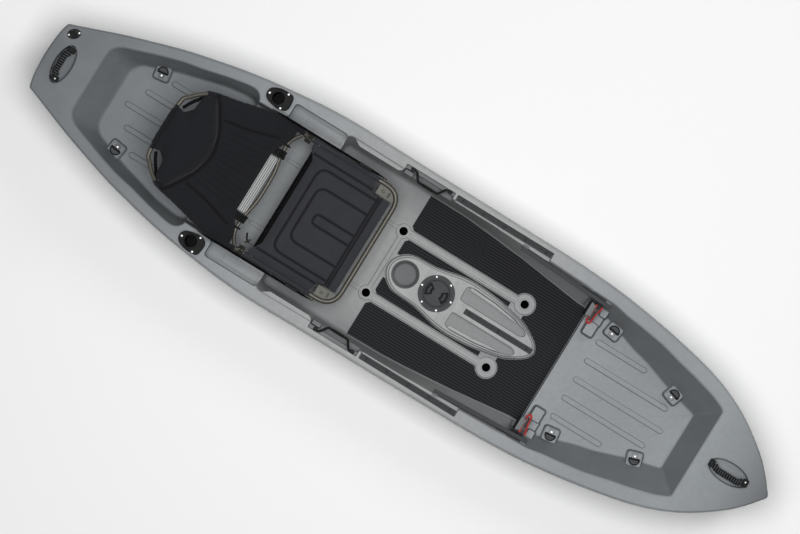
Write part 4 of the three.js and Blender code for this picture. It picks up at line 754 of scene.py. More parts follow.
def scupper_forms():
    """The ridge between the scuppers, its crown, the cross ridge and the rings."""
    floor, ridge = COCKPIT["floor"], SCUPPER_RIDGE
    stern, bow = SCUPPERS[0], SCUPPERS[1]
    middle, y = (stern["x"] + bow["x"]) / 2, (stern["y"] + bow["y"]) / 2
    length = bow["x"] - stern["x"]
    forms = [
        both_sides(mound(placed(pill(length, ridge["width"] - 4), middle, y), floor, ridge["height"])),
        both_sides(mound(placed(pill(length - 60, ridge["crown"]), middle, y), floor, ridge["crown_height"],
                         8)),
        mound(placed(soft_rectangle(CROSS_RIDGE["width"], 2 * stern["y"], 4), stern["x"], 0), floor,
              CROSS_RIDGE["height"]),
    ]
    for place in SCUPPERS:
        for radius, height in ((place["ring"] - 2, SCUPPER["ring_height"]),
                               (SCUPPER["rim"], SCUPPER["rim_height"])):
            ring = placed(ellipse(radius, radius), place["x"], place["y"])
            forms.append(both_sides(mound(ring, floor, height, 5)))
    return forms


def side_forms():
    """The ledges beside the cockpit, the ribs in the pod's trays and the blocks in the handle recesses."""
    ledge = rounded([v3(x, y) for x, y in LEDGE["points"]], 8)
    top = deck_height(LEDGE["points"][0][0]) - LEDGE["drop"]
    forms = [both_sides(loft([raised(ledge, LEDGE["low"]), raised(ledge, top - 4),
                              raised(grown(ledge, -1.2), top - 1.2), raised(grown(ledge, -4), top)]))]
    rib = rounded([v3(x, y) for x, y in TRAY_RIB["points"]], 4)
    forms.append(both_sides(mound(rib, POD_TOP - TRAY["depth"], TRAY_RIB["height"], 1.5)))
    for stern, bow in RECESS_BLOCK["places"]:
        block = rounded(rectangle(stern, bow, RECESS_BLOCK["inner"], RECESS_BLOCK["outer"]), 4)
        forms.append(both_sides(mound(block, HANDLE_POCKET["floor"], RECESS_BLOCK["height"], 3)))
    return forms


def pad_forms():
    """The moulded pads at the cockpit's bow end, with the cord's post."""
    floor = BOW_WELL["floor"]
    pads = []
    for pad in PADS:
        loop = rounded(rectangle(pad["stern"], pad["bow"], pad["low"], pad["high"]), 12)
        pads.append(both_sides(mound(loop, floor, pad["height"], slope=10)))
    radius, top = PAD_POST["radius"], floor + PADS[0]["height"]
    post = [(0, -ROOT), (radius, -ROOT), (radius, PAD_POST["height"] - 2), (radius - 2, PAD_POST["height"])]
    return pads + [both_sides(spun(post + [(0, PAD_POST["height"])], PAD_POST["x"], PAD_POST["y"], top, 20))]


def eye_bosses():
    """The raised seats of the tie-downs, each a rounded frame round a sunk middle."""
    length, width, corner = EYE["boss_length"], EYE["boss_width"], EYE["boss_corner"]
    (skirt_x, skirt_y), (sunk_x, sunk_y, sunk_corner), edge = EYE["skirt"], EYE["sunk"], EYE["sunk_edge"]
    bosses = []
    for eye in EYES:
        place = (eye["x"], eye["y"], 0, eye["turn"])
        floor = STERN_WELL["floor"] if eye["x"] < 0 else BOW_WELL["floor"]
        outer = placed(soft_rectangle(length + skirt_x, width + skirt_y, corner), *place)
        boss = mound(outer, floor, eye["lift"] + EYE["frame"], EYE["boss_slope"])
        inner = placed(soft_rectangle(length - sunk_x, width - sunk_y, corner - sunk_corner), *place)
        sunk = recess(inner, floor + eye["lift"], floor + eye["lift"] + EYE["frame"], edge=edge, fillet=edge)
        bosses.append(both_sides(cut(boss, sunk)))
    return bosses


def rod_loop(margin):
    points = [v3(u * (ROD["length"] + 2 * margin), v * (ROD["width"] + 2 * margin)) for u, v in ROD["shares"]]
    return smooth_line(points, 5, closed=True)


def rod_seat():
    return deck_height(ROD["x"]) + ROD["boss_lift"] - ROD["rebate"]


def rod_boss():
    loop = placed(rod_loop(ROD["margin"]), ROD["x"], ROD["y"])
    top = deck_height(ROD["x"]) + ROD["boss_lift"]
    low = deck_height(ROD["x"]) - ROD["boss_depth"]
    edge = 2
    return both_sides(loft([raised(loop, low), raised(loop, top - edge),
                            raised(grown(loop, -edge * 0.3), top - 0.6), raised(grown(loop, -edge), top)]))


def drain_loop(grow=0):
    return placed(ellipse(DRAIN["length"] / 2 + grow, DRAIN["width"] / 2 + grow), DRAIN["x"], DRAIN["y"], 0,
                  DRAIN["turn"])


def drain_seat():
    return deck_height(DRAIN["x"]) - DRAIN["rebate"]


def rail_angle():
    return math.atan2(RAIL["bow_y"] - RAIL["stern_y"], RAIL["bow"] - RAIL["stern"])


def rail_place(x):
    share = (x - RAIL["stern"]) / (RAIL["bow"] - RAIL["stern"])
    return RAIL["stern_y"] + share * (RAIL["bow_y"] - RAIL["stern_y"])


def rail_block(stern, bow, inner, outer, height):
    middle = (stern + bow) / 2
    loop = rectangle(stern - middle, bow - middle, inner, outer)
    loop = placed(loop, middle, rail_place(middle), 0, math.degrees(rail_angle()))
    return both_sides(prism(loop, RAIL["z"] - height / 2, RAIL["z"] + height / 2))


def hull_mesh():
    outside = hull_outside()
    limits = outside.copy()
    body = cut(added(outside, rod_boss()), deck_cutter(), tunnel_cutter())
    forms = floor_ribs() + scupper_forms() + side_forms() + pad_forms() + eye_bosses() + eye_feet()
    face = RAIL["depth"] / 2 - ROOT
    forms += [rail_block(stern, stern + RAIL["seat"], face, face + RAIL["seat_depth"], RAIL["height"])
              for stern in (RAIL["stern"], RAIL["bow"] - RAIL["seat"])]
    raised_forms = combined(added(forms[0], *forms[1:]), [limits], "INTERSECT")
    body = added(body, raised_forms)
    wall = HULL["wall"]
    hollow = cut(hull_inside(), deck_cutter(wall), tunnel_cutter(wall), *scupper_cutters(wall))
    hatch = placed(ellipse(HATCH["hole"], HATCH["hole"]), HATCH["x"], 0)
    rebate, hole = placed(rod_loop(GAP), ROD["x"], ROD["y"]), placed(ellipse(ROD["hole"], ROD["hole"]),
                                                                     ROD["x"], ROD["y"])
    seat, deep = rod_seat(), ROD["boss_depth"] + OVERRUN
    plug = placed(ellipse(DRAIN["hole"], DRAIN["hole"], 32), DRAIN["x"], DRAIN["y"])
    holes = scupper_cutters() + [
        prism(hatch, POD_TOP - wall - OVERRUN, POD_TOP + OVERRUN),
        both_sides(prism(rebate, seat, seat + OVERRUN)),
        both_sides(prism(hole, seat - deep, seat + OVERRUN)),
        prism(drain_loop(GAP), drain_seat(), drain_seat() + OVERRUN),
        prism(plug, drain_seat() - DRAIN["sleeve_depth"] - OVERRUN, drain_seat() + OVERRUN),
        rail_block(RAIL["stern"] - GAP, RAIL["bow"] + GAP, -RAIL["depth"] / 2 - GAP, RAIL["depth"] / 2 + GAP,
                   RAIL["height"] + 2 * GAP),
    ]
    return cut(body, hollow, *holes)


def toned(bm):
    """Marks faces with a tone from -1 to 1: below zero to be painted darker, mostly as painted shade in
    recesses and on the basins' walls, and above zero to be painted paler.
    """
    layer = bm.faces.layers.float.new("tone")
    bm.normal_update()
    for face in bm.faces:
        p = face.calc_center_median()
        steep = face.normal.z < STEEP and face.normal.y * p.y <= INWARD * abs(p.y)
        for walls, places in ((False, TONES), (True, WALL_SHADES)):
            for (x0, x1), (y0, y1), (z0, z1), tone in places:
                if steep >= walls and x0 < p.x < x1 and y0 < abs(p.y) < y1 and z0 < p.z < z1:
                    face[layer] = tone
    return bm


# The floor mat, the hatch, the tracks and rails
def mat_half():
    line = [v3(COCKPIT["stern"] + u * (COCKPIT["bow"] - COCKPIT["stern"]), v * COCKPIT["half"])
            for u, v in COCKPIT["floor_shares"]]
    inner = [v3(max(MAT["stern"], min(MAT["bow"], p.x)), p.y - MAT["margin"]) for p in line]
    return [p for i, p in enumerate(inner) if i == 0 or p.x > inner[i - 1].x]


def mat_cutters():
    low, high, margin = COCKPIT["floor"] - ROOT, COCKPIT["floor"] + OVERRUN, MAT["margin"]
    stern, bow = SCUPPERS[0], SCUPPERS[1]
    middle, y = (stern["x"] + bow["x"]) / 2, (stern["y"] + bow["y"]) / 2
    width = SCUPPER_RIDGE["width"] + 2 * margin
    half = SCUPPER_RIDGE["width"] / 2
    cutters = [symmetric_loft([raised(pod_half(-margin), low), raised(pod_half(-margin), high)]),
               both_sides(prism(placed(pill(bow["x"] - stern["x"], width), middle, y), low, high)),
               both_sides(prism(rectangle(bow["x"] - half, bow["x"] + half, 0, bow["y"]), low, high))]
    for place in SCUPPERS:
        ring, flare = place["ring"] + margin, 2 * place["flare"] + 2 * margin
        cutters.append(both_sides(prism(placed(ellipse(ring, ring), place["x"], place["y"]), low, high)))
        square = placed(soft_rectangle(flare, flare, 16), place["x"], place["y"], 0, 45)
        cutters.append(both_sides(prism(square, low, high)))
    return cutters


def mat_slab():
    floor = COCKPIT["floor"] + GAP
    edge = 1
    half = mat_half()
    thin = [v3(p.x, p.y - edge) for p in half]
    return symmetric_loft([raised(half, floor), raised(half, floor + MAT["thickness"] - edge),
                           raised(thin, floor + MAT["thickness"])])


def main_mat():
    stern, bow = SCUPPERS[0], SCUPPERS[1]
    inner = prism(rectangle(stern["x"] + CROSS_RIDGE["width"] / 2, bow["x"], -bow["y"], bow["y"]),
                  COCKPIT["floor"] - ROOT, COCKPIT["floor"] + OVERRUN)
    return cut(mat_slab(), *mat_cutters(), inner)


def inner_mat():
    stern, bow = MAT["sliver_stern"], MAT["sliver_bow"]
    block = prism(rectangle(stern, bow, MAT["sliver_inner"], MAT["sliver_outer"]), COCKPIT["floor"] - ROOT,
                  COCKPIT["floor"] + OVERRUN)
    return cut(combined(mat_slab(), [block], "INTERSECT"), *mat_cutters())


def hatch_frame():
    """The frame: a flange on a barrel, with a ledge for the seal and a groove round the mouth."""
    h = HATCH
    mouth, ledge, barrel, flange = (h[part] for part in ("mouth", "ledge", "barrel", "flange"))
    plate, edge, depth = h["plate"], h["edge"], h["ledge_depth"]
    under, low = depth + h["ledge_thickness"], -h["barrel_depth"]
    profile = [(mouth, plate - edge / 2), (mouth, -depth), (ledge, -depth), (ledge, -under), (mouth, -under),
               (mouth, low), (barrel, low), (barrel, 0), (flange, 0), (flange, plate - edge)]
    profile += [(flange - edge * (1 - math.cos(a)), plate - edge * (1 - math.sin(a)))
                for a in (TURN / 4 * k / ARC_STEPS for k in range(1, ARC_STEPS + 1))]
    profile += [(mouth + outwards, plate - drop) for outwards, drop in h["groove"]]
    profile += [(mouth + edge / 2, plate), (mouth, plate - edge / 2)]
    return spun(profile, h["x"], 0, POD_TOP + GAP, h["steps"])


def sector(inner, outer, half_angle, corner, turn_by):
    half = math.radians(half_angle)
    angles = [half * (2 * k / 10 - 1) for k in range(11)]
    arc = [v3(outer * math.cos(a), outer * math.sin(a)) for a in angles]
    arc += [v3(inner * math.cos(a), inner * math.sin(a)) for a in reversed(angles)]
    return placed(rounded(arc, corner), 0, 0, 0, turn_by)


def finger_well(turn_by):
    """A well for the fingers in the lid, an arc with round corners."""
    c, fillet, edge = COVER, COVER["well_fillet"], COVER["well_edge"]
    loop = sector(c["well_inner"], c["well_outer"], c["well_half_angle"], 4, turn_by)
    top = HATCH["plate"] - c["crown"]
    low = top - c["well_depth"]
    return loft([raised(grown(loop, -fillet), low), raised(loop, low + fillet), raised(loop, top - edge),
                 raised(grown(loop, edge), top), raised(grown(loop, edge), top + OVERRUN)])


def hatch_lid():
    """The turning lid: a disc with a rim groove, two finger wells and a grip block in each."""
    c = COVER
    top = HATCH["plate"] - c["crown"]
    low = -HATCH["ledge_depth"] + 2 * GAP + 2 * O_RING["section"]
    rim = [(c["radius"] - inwards, top - drop) for inwards, drop in c["rim"]]
    lid = spun([(0, low), (c["radius"], low)] + rim + [(0, top)], steps=HATCH["steps"])
    lid = cut(lid, finger_well(0), finger_well(180))
    for side in (0, 180):
        block = mound(sector(*c["block"], 2, side), top - c["well_depth"], c["well_depth"] - c["block_drop"],
                      c["block_edge"])
        lid = added(lid, block)
    # Faces below the top, inside the rim, are marked to be painted near black, as painted shade in the finger
    # wells
    layer = lid.faces.layers.float.new("tone")
    for face in lid.faces:
        middle = face.calc_center_median()
        if middle.z < top - 1 and middle.xy.length < c["radius"] - 5:
            face[layer] = -1
    return moved(lid, HATCH["x"], 0, POD_TOP + GAP)


def o_ring():
    radius, section, count = O_RING["radius"], O_RING["section"], O_RING["steps"]
    angles = [TURN * k / count for k in range(count)]
    ring = [v3(radius * math.cos(a), radius * math.sin(a)) for a in angles]
    z = POD_TOP + GAP - HATCH["ledge_depth"] + GAP + section
    return moved(tube(ring, section, O_RING["sides"], looped=True), HATCH["x"], 0, z)


def screw(radius, height=2.2, steps=20):
    """A domed screw head with a crossed drive, standing on z = 0."""
    head = spun([(radius * u, height * v) for u, v in SCREW_DOME], steps=steps)
    slot, long = SCREW_DRIVE["width"] * radius, SCREW_DRIVE["reach"] * radius
    for x, y in ((long, slot), (slot, long)):
        head = cut(head, prism(rectangle(-x, x, -y, y), height * SCREW_DRIVE["floor"], height * 2))
    return head


def screws_at(places, radius=SCREW["radius"], height=SCREW["height"]):
    """One mesh of screws, each at a point and turned a little further than the last."""
    heads = []
    for i, place in enumerate(places):
        head = turned(screw(radius, height), 23 * i)
        heads.append(moved(head, place.x, place.y, place.z))
    return joined(*heads)


def hatch_screws():
    ring, z = HATCH["screw_ring"], POD_TOP + GAP + HATCH["plate"]
    angles = [TURN * k / HATCH["screws"] for k in range(HATCH["screws"])]
    return screws_at([v3(HATCH["x"] + ring * math.cos(a), ring * math.sin(a), z) for a in angles])


def channel(width, height, base, wall, slot):
    w, s = width / 2, slot / 2
    return [v3(-w, 0), v3(w, 0), v3(w, height), v3(s, height), v3(s, height - wall),
            v3(w - wall, height - wall),
            v3(w - wall, base), v3(wall - w, base), v3(wall - w, height - wall), v3(-s, height - wall),
            v3(-s, height), v3(-w, height)]


def track_bar(stern, bow, y, z, screws):
    """A slotted track along X, with countersunk holes where its screws go."""
    t = TRACK
    section = channel(t["width"], t["height"], t["base"], t["lip"], t["slot"])
    bar = bevelled(loft([[v3(x, y - p.x, z + p.y) for p in section] for x in (stern, bow)]), t["edge"])
    return cut(bar, *(spun(list(t["well"]), x, y, z + t["height"], t["well_steps"]) for x in screws))


def track_screws(stern, bow, pitch):
    count = int((bow - stern) // pitch) + 1
    start = (stern + bow) / 2 - pitch * (count - 1) / 2
    return [start + pitch * k for k in range(count)]


def foot_rail():
    """A slotted bar along the cockpit's wall, with a row of lock notches in each lip."""
    length = (RAIL["bow"] - RAIL["stern"]) / math.cos(rail_angle())
    section = channel(RAIL["height"], RAIL["depth"], RAIL["plate"], RAIL["plate"], RAIL["slot"])
    middle = (RAIL["stern"] + RAIL["bow"]) / 2
    ends = [[v3(x, RAIL["depth"] / 2 - p.y, p.x) for p in section] for x in (-length / 2, length / 2)]
    bar = bevelled(loft(ends), 0.9)
    face = -RAIL["depth"] / 2
    count = int(length // NOTCH["pitch"]) - 1
    for k in range(count):
        x = (k - (count - 1) / 2) * NOTCH["pitch"]
        loop = rectangle(x - NOTCH["width"] / 2, x + NOTCH["width"] / 2, face - ROOT,
                         face + RAIL["plate"] + ROOT)
        bar = cut(bar, prism(loop, -NOTCH["height"] / 2, NOTCH["height"] / 2))
    return moved(turned(bar, math.degrees(rail_angle())), middle, rail_place(middle), RAIL["z"])


def carriage_mesh():
    """The block that locks in the rail, with its neck and shoe and a ribbed face."""
    c = CARRIAGE
    face = -RAIL["depth"] / 2 - GAP
    shoe_low = -RAIL["depth"] / 2 + RAIL["plate"] + GAP
    block = bevelled(prism(rectangle(-c["length"] / 2, c["length"] / 2, face - c["reach"], face),
                           -c["height"] / 2, c["height"] / 2), 2.5, 3)
    neck = prism(rectangle(-c["length"] / 2, c["length"] / 2, face - ROOT, shoe_low + ROOT), -c["neck"] / 2,
                 c["neck"] / 2)
    shoe = bevelled(prism(rectangle(-c["length"] / 2, c["length"] / 2, shoe_low, shoe_low + c["shoe_depth"]),
                          -c["shoe_height"] / 2, c["shoe_height"] / 2), 0.8)
    grip = [bevelled(prism(rectangle(x - 1.5, x + 1.5, face - c["reach"] + 2, face - 2), c["height"] / 2 - 1,
                           c["height"] / 2 + 0.8), 0.5) for x in (-9, -3, 3, 9)]
    whole = added(block, neck, shoe, *grip)
    return moved(turned(whole, math.degrees(rail_angle())), c["x"], rail_place(c["x"]), RAIL["z"])


def pedal_middle():
    return rail_place(CARRIAGE["x"]) - RAIL["depth"] / 2 - CARRIAGE["reach"] - 3 * GAP - PEDAL["width"] / 2


def pedal_mesh():
    """The foot pad: a rounded plate that faces the stern, with deep ribs behind it."""
    loop = soft_rectangle(PEDAL["width"], PEDAL["height"], PEDAL["corner"], 6)
    half = PEDAL["thickness"] / 2
    plate = loft([raised(grown(loop, -1.5), -half), raised(loop, 1.5 - half), raised(loop, half - 3.5),
                  raised(grown(loop, -1.5), half - 2)])
    back = loft([raised(grown(loop, -9), -half - PEDAL["back"]),
                 raised(grown(loop, -6), 3 - half - PEDAL["back"]), raised(grown(loop, -3), 1 - half)])
    pockets = []
    for k in range(3):
        y = (k - 1) * 24
        pocket = soft_rectangle(PEDAL["width"] - 24, 16, 4)
        pockets.append(prism(placed(pocket, 0, y), -half - PEDAL["back"] - ROOT, -half - 1))
    return cut(added(plate, back), *pockets)


def tread_mesh():
    """The black rubber tread on the foot pad, with its bars."""
    loop = grown(soft_rectangle(PEDAL["width"], PEDAL["height"], PEDAL["corner"], 6), -2)
    low, thick = PEDAL["thickness"] / 2 - 2 + GAP / 3, PEDAL["tread"]
    tread = loft([raised(loop, low), raised(loop, low + thick - 1), raised(grown(loop, -1), low + thick)])
    bars = []
    for k in range(PEDAL["bars"]):
        y = (k - (PEDAL["bars"] - 1) / 2) * PEDAL["bar_pitch"]
        bar = rounded(rectangle(-PEDAL["width"] / 2 + 8, PEDAL["width"] / 2 - 8, y - 3, y + 3), 2.5)
        bars.append(mound(bar, low + thick, 2, 2))
    return added(tread, *bars)


def pedal_place(bm):
    """Stands the plate up across the hull, with its tread towards the stern."""
    spin = Matrix(((0, 0, -1), (-1, 0, 0), (0, 1, 0)))
    bmesh.ops.transform(bm, matrix=spin.to_4x4(), verts=bm.verts)
    bmesh.ops.recalc_face_normals(bm, faces=bm.faces)
    return moved(bm, PEDAL["x"], pedal_middle(), RAIL["z"] - PEDAL["drop"])


def rail_hook():
    h = RAIL_HOOK
    y = hook_face() + h["depth"] / 2
    body = bevelled(prism(rectangle(-h["length"] / 2, h["length"] / 2, -h["depth"] / 2, h["depth"] / 2),
                          -h["height"] / 2, h["height"] / 2), 2, 3)
    return moved(turned(body, math.degrees(rail_angle())), h["x"], y, RAIL["z"])


def hook_face():
    return rail_place(RAIL_HOOK["x"]) - RAIL["depth"] / 2 - GAP - RAIL_HOOK["depth"]


def bungee_route():
    """From the rail's hook down round the pad's post and back."""
    d, z = BUNGEE["diameter"], RAIL["z"]
    low = BOW_WELL["floor"] + PADS[0]["height"] + d / 2 + BUNGEE["lift"]
    half = RAIL_HOOK["length"] / 2 - d + BUNGEE["spread"]
    wrap = PAD_POST["radius"] + d / 2 + BUNGEE["lift"]
    end, x, foot = hook_face() - 2 * GAP, PAD_POST["x"], PAD_POST["y"]
    middle, rise = (foot + end) / 2, (low + z) / 2
    hook = RAIL_HOOK["x"] + BUNGEE["shift"]
    points = [v3(hook - half, end, z), v3(hook - half, end - d, z), v3(x - wrap, middle, rise),
              v3(x - wrap, foot + wrap, low + d / 2), v3(x - wrap, foot, low), v3(x, foot - wrap, low),
              v3(x + wrap, foot, low), v3(x + wrap, foot + wrap, low + d / 2), v3(x + wrap + 2, middle, rise),
              v3(hook + half, end - d, z), v3(hook + half, end, z)]
    return smooth_line(points, 8)


# Deck fittings
def rod_holder():
    """The flush rod holder: a soft triangular plate with a raised rim line over a closed tube."""
    plate, bore = ROD["plate"], ROD["bore"]
    loop = rod_loop(-GAP)
    flange = loft([raised(loop, 0), raised(loop, plate - 1.5), raised(grown(loop, -0.5), plate - 0.4),
                   raised(grown(loop, -1.6), plate), raised(grown(loop, -5.5), plate),
                   raised(grown(loop, -6.5), plate - 1), raised(grown(loop, -9), plate - 1)])
    collar = spun([(0, 0), (bore + 8, 0), (bore + 8, plate - 1), (bore + 4, plate + 0.2),
                   (bore + 1.5, plate + 0.6), (0, plate + 0.6)])
    pipe = spun([(0, -ROD["depth"]), (ROD["tube"], -ROD["depth"]), (ROD["tube"], 1), (0, 1)])
    inside = spun([(0, ROD["cap"] - ROD["depth"]), (bore, ROD["cap"] - ROD["depth"]), (bore, plate - 1.5),
                   (bore + 1.5, plate + 1.5), (bore + 1.5, OVERRUN), (0, OVERRUN)])
    body = cut(added(flange, collar, pipe), inside)
    return moved(body, ROD["x"], ROD["y"], rod_seat() + GAP)


def rod_screws():
    z = rod_seat() + GAP + ROD["plate"] - 1
    return screws_at([v3(ROD["x"] + x, ROD["y"] + y, z) for x, y in ROD["screws"]], 5.2)


def drain_housing():
    d = DRAIN
    loop = placed(ellipse(d["length"] / 2 - GAP, d["width"] / 2 - GAP), 0, 0, 0, d["turn"])
    plate = loft([raised(loop, 0), raised(loop, d["plate"] - 2), raised(grown(loop, -0.7), d["plate"] - 0.6),
                  raised(grown(loop, -2), d["plate"])])
    collar = spun([(0, 0), (17, 0), (17, d["plate"] - 0.5), (16, d["plate"]), (0, d["plate"])])
    sleeve = spun([(0, -d["sleeve_depth"]), (d["sleeve"], -d["sleeve_depth"]), (d["sleeve"], 1), (0, 1)])
    bore = spun([(0, -d["sleeve_depth"] - OVERRUN), (d["bore"], -d["sleeve_depth"] - OVERRUN),
                 (d["bore"], OVERRUN), (0, OVERRUN)])
    return moved(cut(added(plate, collar, sleeve), bore), d["x"], d["y"], drain_seat() + GAP)


def drain_plug():
    """The drain plug: a fluted head with a coin slot on a round shank."""
    d, count = DRAIN, DRAIN["head_steps"]
    low = d["plate"] + GAP
    top, shank_low = low + d["head_height"], low - d["shank_depth"]
    radii = [d["head"] - d["flute"] * (k % 4 > 1) for k in range(count)]
    head = [v3(r * math.cos(TURN * k / count), r * math.sin(TURN * k / count)) for k, r in enumerate(radii)]
    knob = loft([raised(head, low), raised(head, top - d["head_slope"]),
                 raised([p * d["taper"] for p in head], top)])
    shank = spun([(0, shank_low), (d["shank"], shank_low), (d["shank"], low + 1), (0, low + 1)])
    reach, half, deep = d["coin_slot"]
    slot = prism(rectangle(-reach, reach, -half, half), top - deep, top + OVERRUN)
    return moved(cut(added(knob, shank), slot), d["x"], d["y"], drain_seat() + GAP)


def drain_screws():
    turn_by = math.radians(DRAIN["turn"])
    span, z = DRAIN["screw_span"], drain_seat() + GAP + DRAIN["plate"] - 0.4
    return screws_at([v3(DRAIN["x"] + s * span * math.cos(turn_by),
                         DRAIN["y"] + s * span * math.sin(turn_by), z)
                      for s in (-1, 1)], 4.6)


def tie_down(eye):
    """A tie-down: a half-round base outboard with its rim and the bar that ropes go round."""
    half, reach, top = EYE["half_length"], EYE["bow_reach"], EYE["plate"]
    arc = [v3(half * math.cos(a), 2 + reach * math.sin(a)) for a in (TURN / 2 * k / 24 for k in range(25))]
    loop = rounded([v3(-half, -4)] + list(reversed(arc)) + [v3(half, -4)], 3, 2)
    base = loft([raised(loop, 0), raised(loop, top - 1), raised(grown(loop, -1), top),
                 raised(grown(loop, -4), top), raised(grown(loop, -5), top - 1.6)])
    layer = base.faces.layers.float.new("tone")
    base.normal_update()
    for face in base.faces:
        if face.normal.z > STEEP and face.calc_center_median().z < top - 1:
            face[layer] = 1
    rim = tube([v3(half * 0.93 * math.cos(a), 1 + reach * 0.93 * math.sin(a), top)
                for a in (TURN / 2 * k / 24 for k in range(25))], 2.6, 10)
    span, rise = EYE["span"], top + EYE["rise"]
    hoop = tube(bent_line([v3(-half + 3, 0, top - ROOT), v3(-span - 2, 0, rise), v3(span + 2, 0, rise),
                           v3(half - 3, 0, top - ROOT)], span / 2, 6), EYE["bar"], 14)
    body = turned(joined(base, rim, hoop), eye["turn"])
    return moved(body, eye["x"], eye["y"], eye_floor(eye))


def eye_feet():
    """The raised foot inboard of each tie-down, where its screw sits."""
    feet = []
    for eye in EYES:
        foot = soft_rectangle(2 * EYE["tongue"], EYE["base"] / 2 + 6, 5)
        feet.append(both_sides(mound(placed(placed(foot, 0, -EYE["base"] / 4 + 1), eye["x"], eye["y"], 0,
                                            eye["turn"]),
                                     eye_floor(eye) - GAP, EYE["plate"] - 0.5, 2)))
    return feet


def eye_floor(eye):
    return (STERN_WELL["floor"] if eye["x"] < 0 else BOW_WELL["floor"]) + eye["lift"] + GAP


def eye_screws():
    places = []
    for eye in EYES:
        spin = Matrix.Rotation(math.radians(eye["turn"]), 3, "Z")
        spot = spin @ v3(0, -EYE["base"] / 2 + 9) + v3(eye["x"], eye["y"])
        places += [v3(spot.x, side * spot.y, eye_floor(eye) + EYE["plate"] - 0.6) for side in (1, -1)]
    return screws_at(places, 5.4)


# Carry handles
def grip_mesh(half_span):
    """A moulded grip: smooth shoulders, one smooth pad and a run of ribs, leaning out from its pins."""
    e = END_HANDLE
    reach = half_span - GAP
    inset = reach - e["shoulder"]
    path = bent_line([v3(-reach, 0), v3(-inset, -e["lean"]), v3(inset, -e["lean"]), v3(reach, 0)],
                     e["shoulder"] / 2)
    fine = []
    for a, b in zip(path, path[1:]):
        count = max(1, int((b - a).length / 1.2))
        fine += [a.lerp(b, k / count) for k in range(count)]
    fine.append(path[-1])

    def radius(share):
        x = (share - 0.5) * 2 * reach
        if -inset + 4 < x < inset - 8 and not -inset + 10 < x < -inset + 40:
            return e["radius"] + e["rib"] - 2 * e["rib"] * (0.5 - 0.5 * math.cos(TURN * x / e["pitch"])) ** 2
        return e["radius"] + 0.6
    body = tube(fine, radius, 20)
    for end in (-1, 1):
        hole = turned(spun([(0, -e["pin"]), (e["pin_radius"] + PIN_CLEAR, -e["pin"]),
                            (e["pin_radius"] + PIN_CLEAR, e["pin"]), (0, e["pin"])], steps=16), 90, "Y")
        body = cut(body, moved(hole, end * half_span, 0))
    return body


def anchor_mesh(end):
    loop = placed(soft_rectangle(ANCHOR["length"], ANCHOR["width"], ANCHOR["corner"], 6),
                  end * ANCHOR["length"] / 2, 0)
    edge = 4
    rings = [raised(loop, 0), raised(loop, ANCHOR["height"] - edge)]
    rings += [raised(grown(loop, -edge * (1 - math.cos(a))), ANCHOR["height"] - edge * (1 - math.sin(a)))
              for a in (TURN / 4 * k / 4 for k in range(1, 5))]
    pin_length = END_HANDLE["pin"] + ANCHOR["corner"]
    pin = turned(spun([(0, -pin_length / 2), (END_HANDLE["pin_radius"], -pin_length / 2),
                       (END_HANDLE["pin_radius"], pin_length / 2), (0, pin_length / 2)], steps=16), 90, "Y")
    pin = moved(pin, end * (pin_length / 2 - END_HANDLE["pin"] + GAP), 0, END_HANDLE["rise"])
    return added(loft(rings), pin)


def at_handle(bm, handle, along):
    """Sets a handle's piece on the deck, level with its slope."""
    bm = turned(bm, 0 if along else -90)
    pitch = Matrix.Rotation(deck_pitch(handle["x"]), 3, "Y")
    bmesh.ops.rotate(bm, cent=v3(0, 0), matrix=pitch, verts=bm.verts)
    return moved(bm, handle["x"], 0, deck(handle["x"]) + GAP)


def handle_screws(handle, along):
    place = v3(handle["half_span"] + ANCHOR["length"] / 2, 4, ANCHOR["height"])
    return at_handle(screws_at([place], 3.8), handle, along)


def side_bail():
    """A side handle: a bent bar, thicker between its ends, and the waved grip on it."""
    b, count = BAIL, BAIL["sleeve_steps"]
    corners = [v3(b["stern"], 0), v3(b["stern_knee"], 0), v3(b["stern_grip"], -b["reach"]),
               v3(b["bow_grip"], -b["reach"]), v3(b["bow_knee"], 0), v3(b["bow"], 0)]

    def bar_radius(share):
        return b["radius"] + b["swell"] * min(1, b["taper"] * min(share, 1 - share))

    def grip_radius(share):
        swell = b["sleeve_swell"] * min(1, b["sleeve_taper"] * min(share, 1 - share))
        return b["sleeve"] + swell - b["wave"] * abs(math.sin(TURN * share * b["waves"]))
    bar = tube(bent_line(corners, 2 * b["radius"], b["bend_steps"]), bar_radius, b["sides"])
    middle = (b["stern_grip"] + b["bow_grip"]) / 2
    length = (b["bow_grip"] - b["stern_grip"]) * b["sleeve_share"]
    sleeve = [v3(middle + length * (k / count - 0.5), -b["reach"]) for k in range(count + 1)]
    grip = tube(sleeve, grip_radius, b["sleeve_sides"])
    return moved(added(bar, grip), 0, b["y"], SHELF_Z + GAP + BRACKET["pivot"])


def side_bracket(x):
    k = BRACKET
    block = bevelled(prism(rectangle(-k["length"] / 2, k["length"] / 2, -k["width"] / 2, k["width"] / 2), 0,
                           k["height"]), 3, 3)
    bore = turned(spun([(0, -k["length"]), (BAIL["radius"] + PIN_CLEAR, -k["length"]),
                        (BAIL["radius"] + PIN_CLEAR, k["length"]), (0, k["length"])], steps=24), 90, "Y")
    return moved(cut(block, moved(bore, 0, 0, k["pivot"])), x, BAIL["y"], SHELF_Z + GAP)


def bracket_places():
    return [BAIL["stern_knee"] - BRACKET["length"], BAIL["bow_knee"] + BRACKET["length"]]


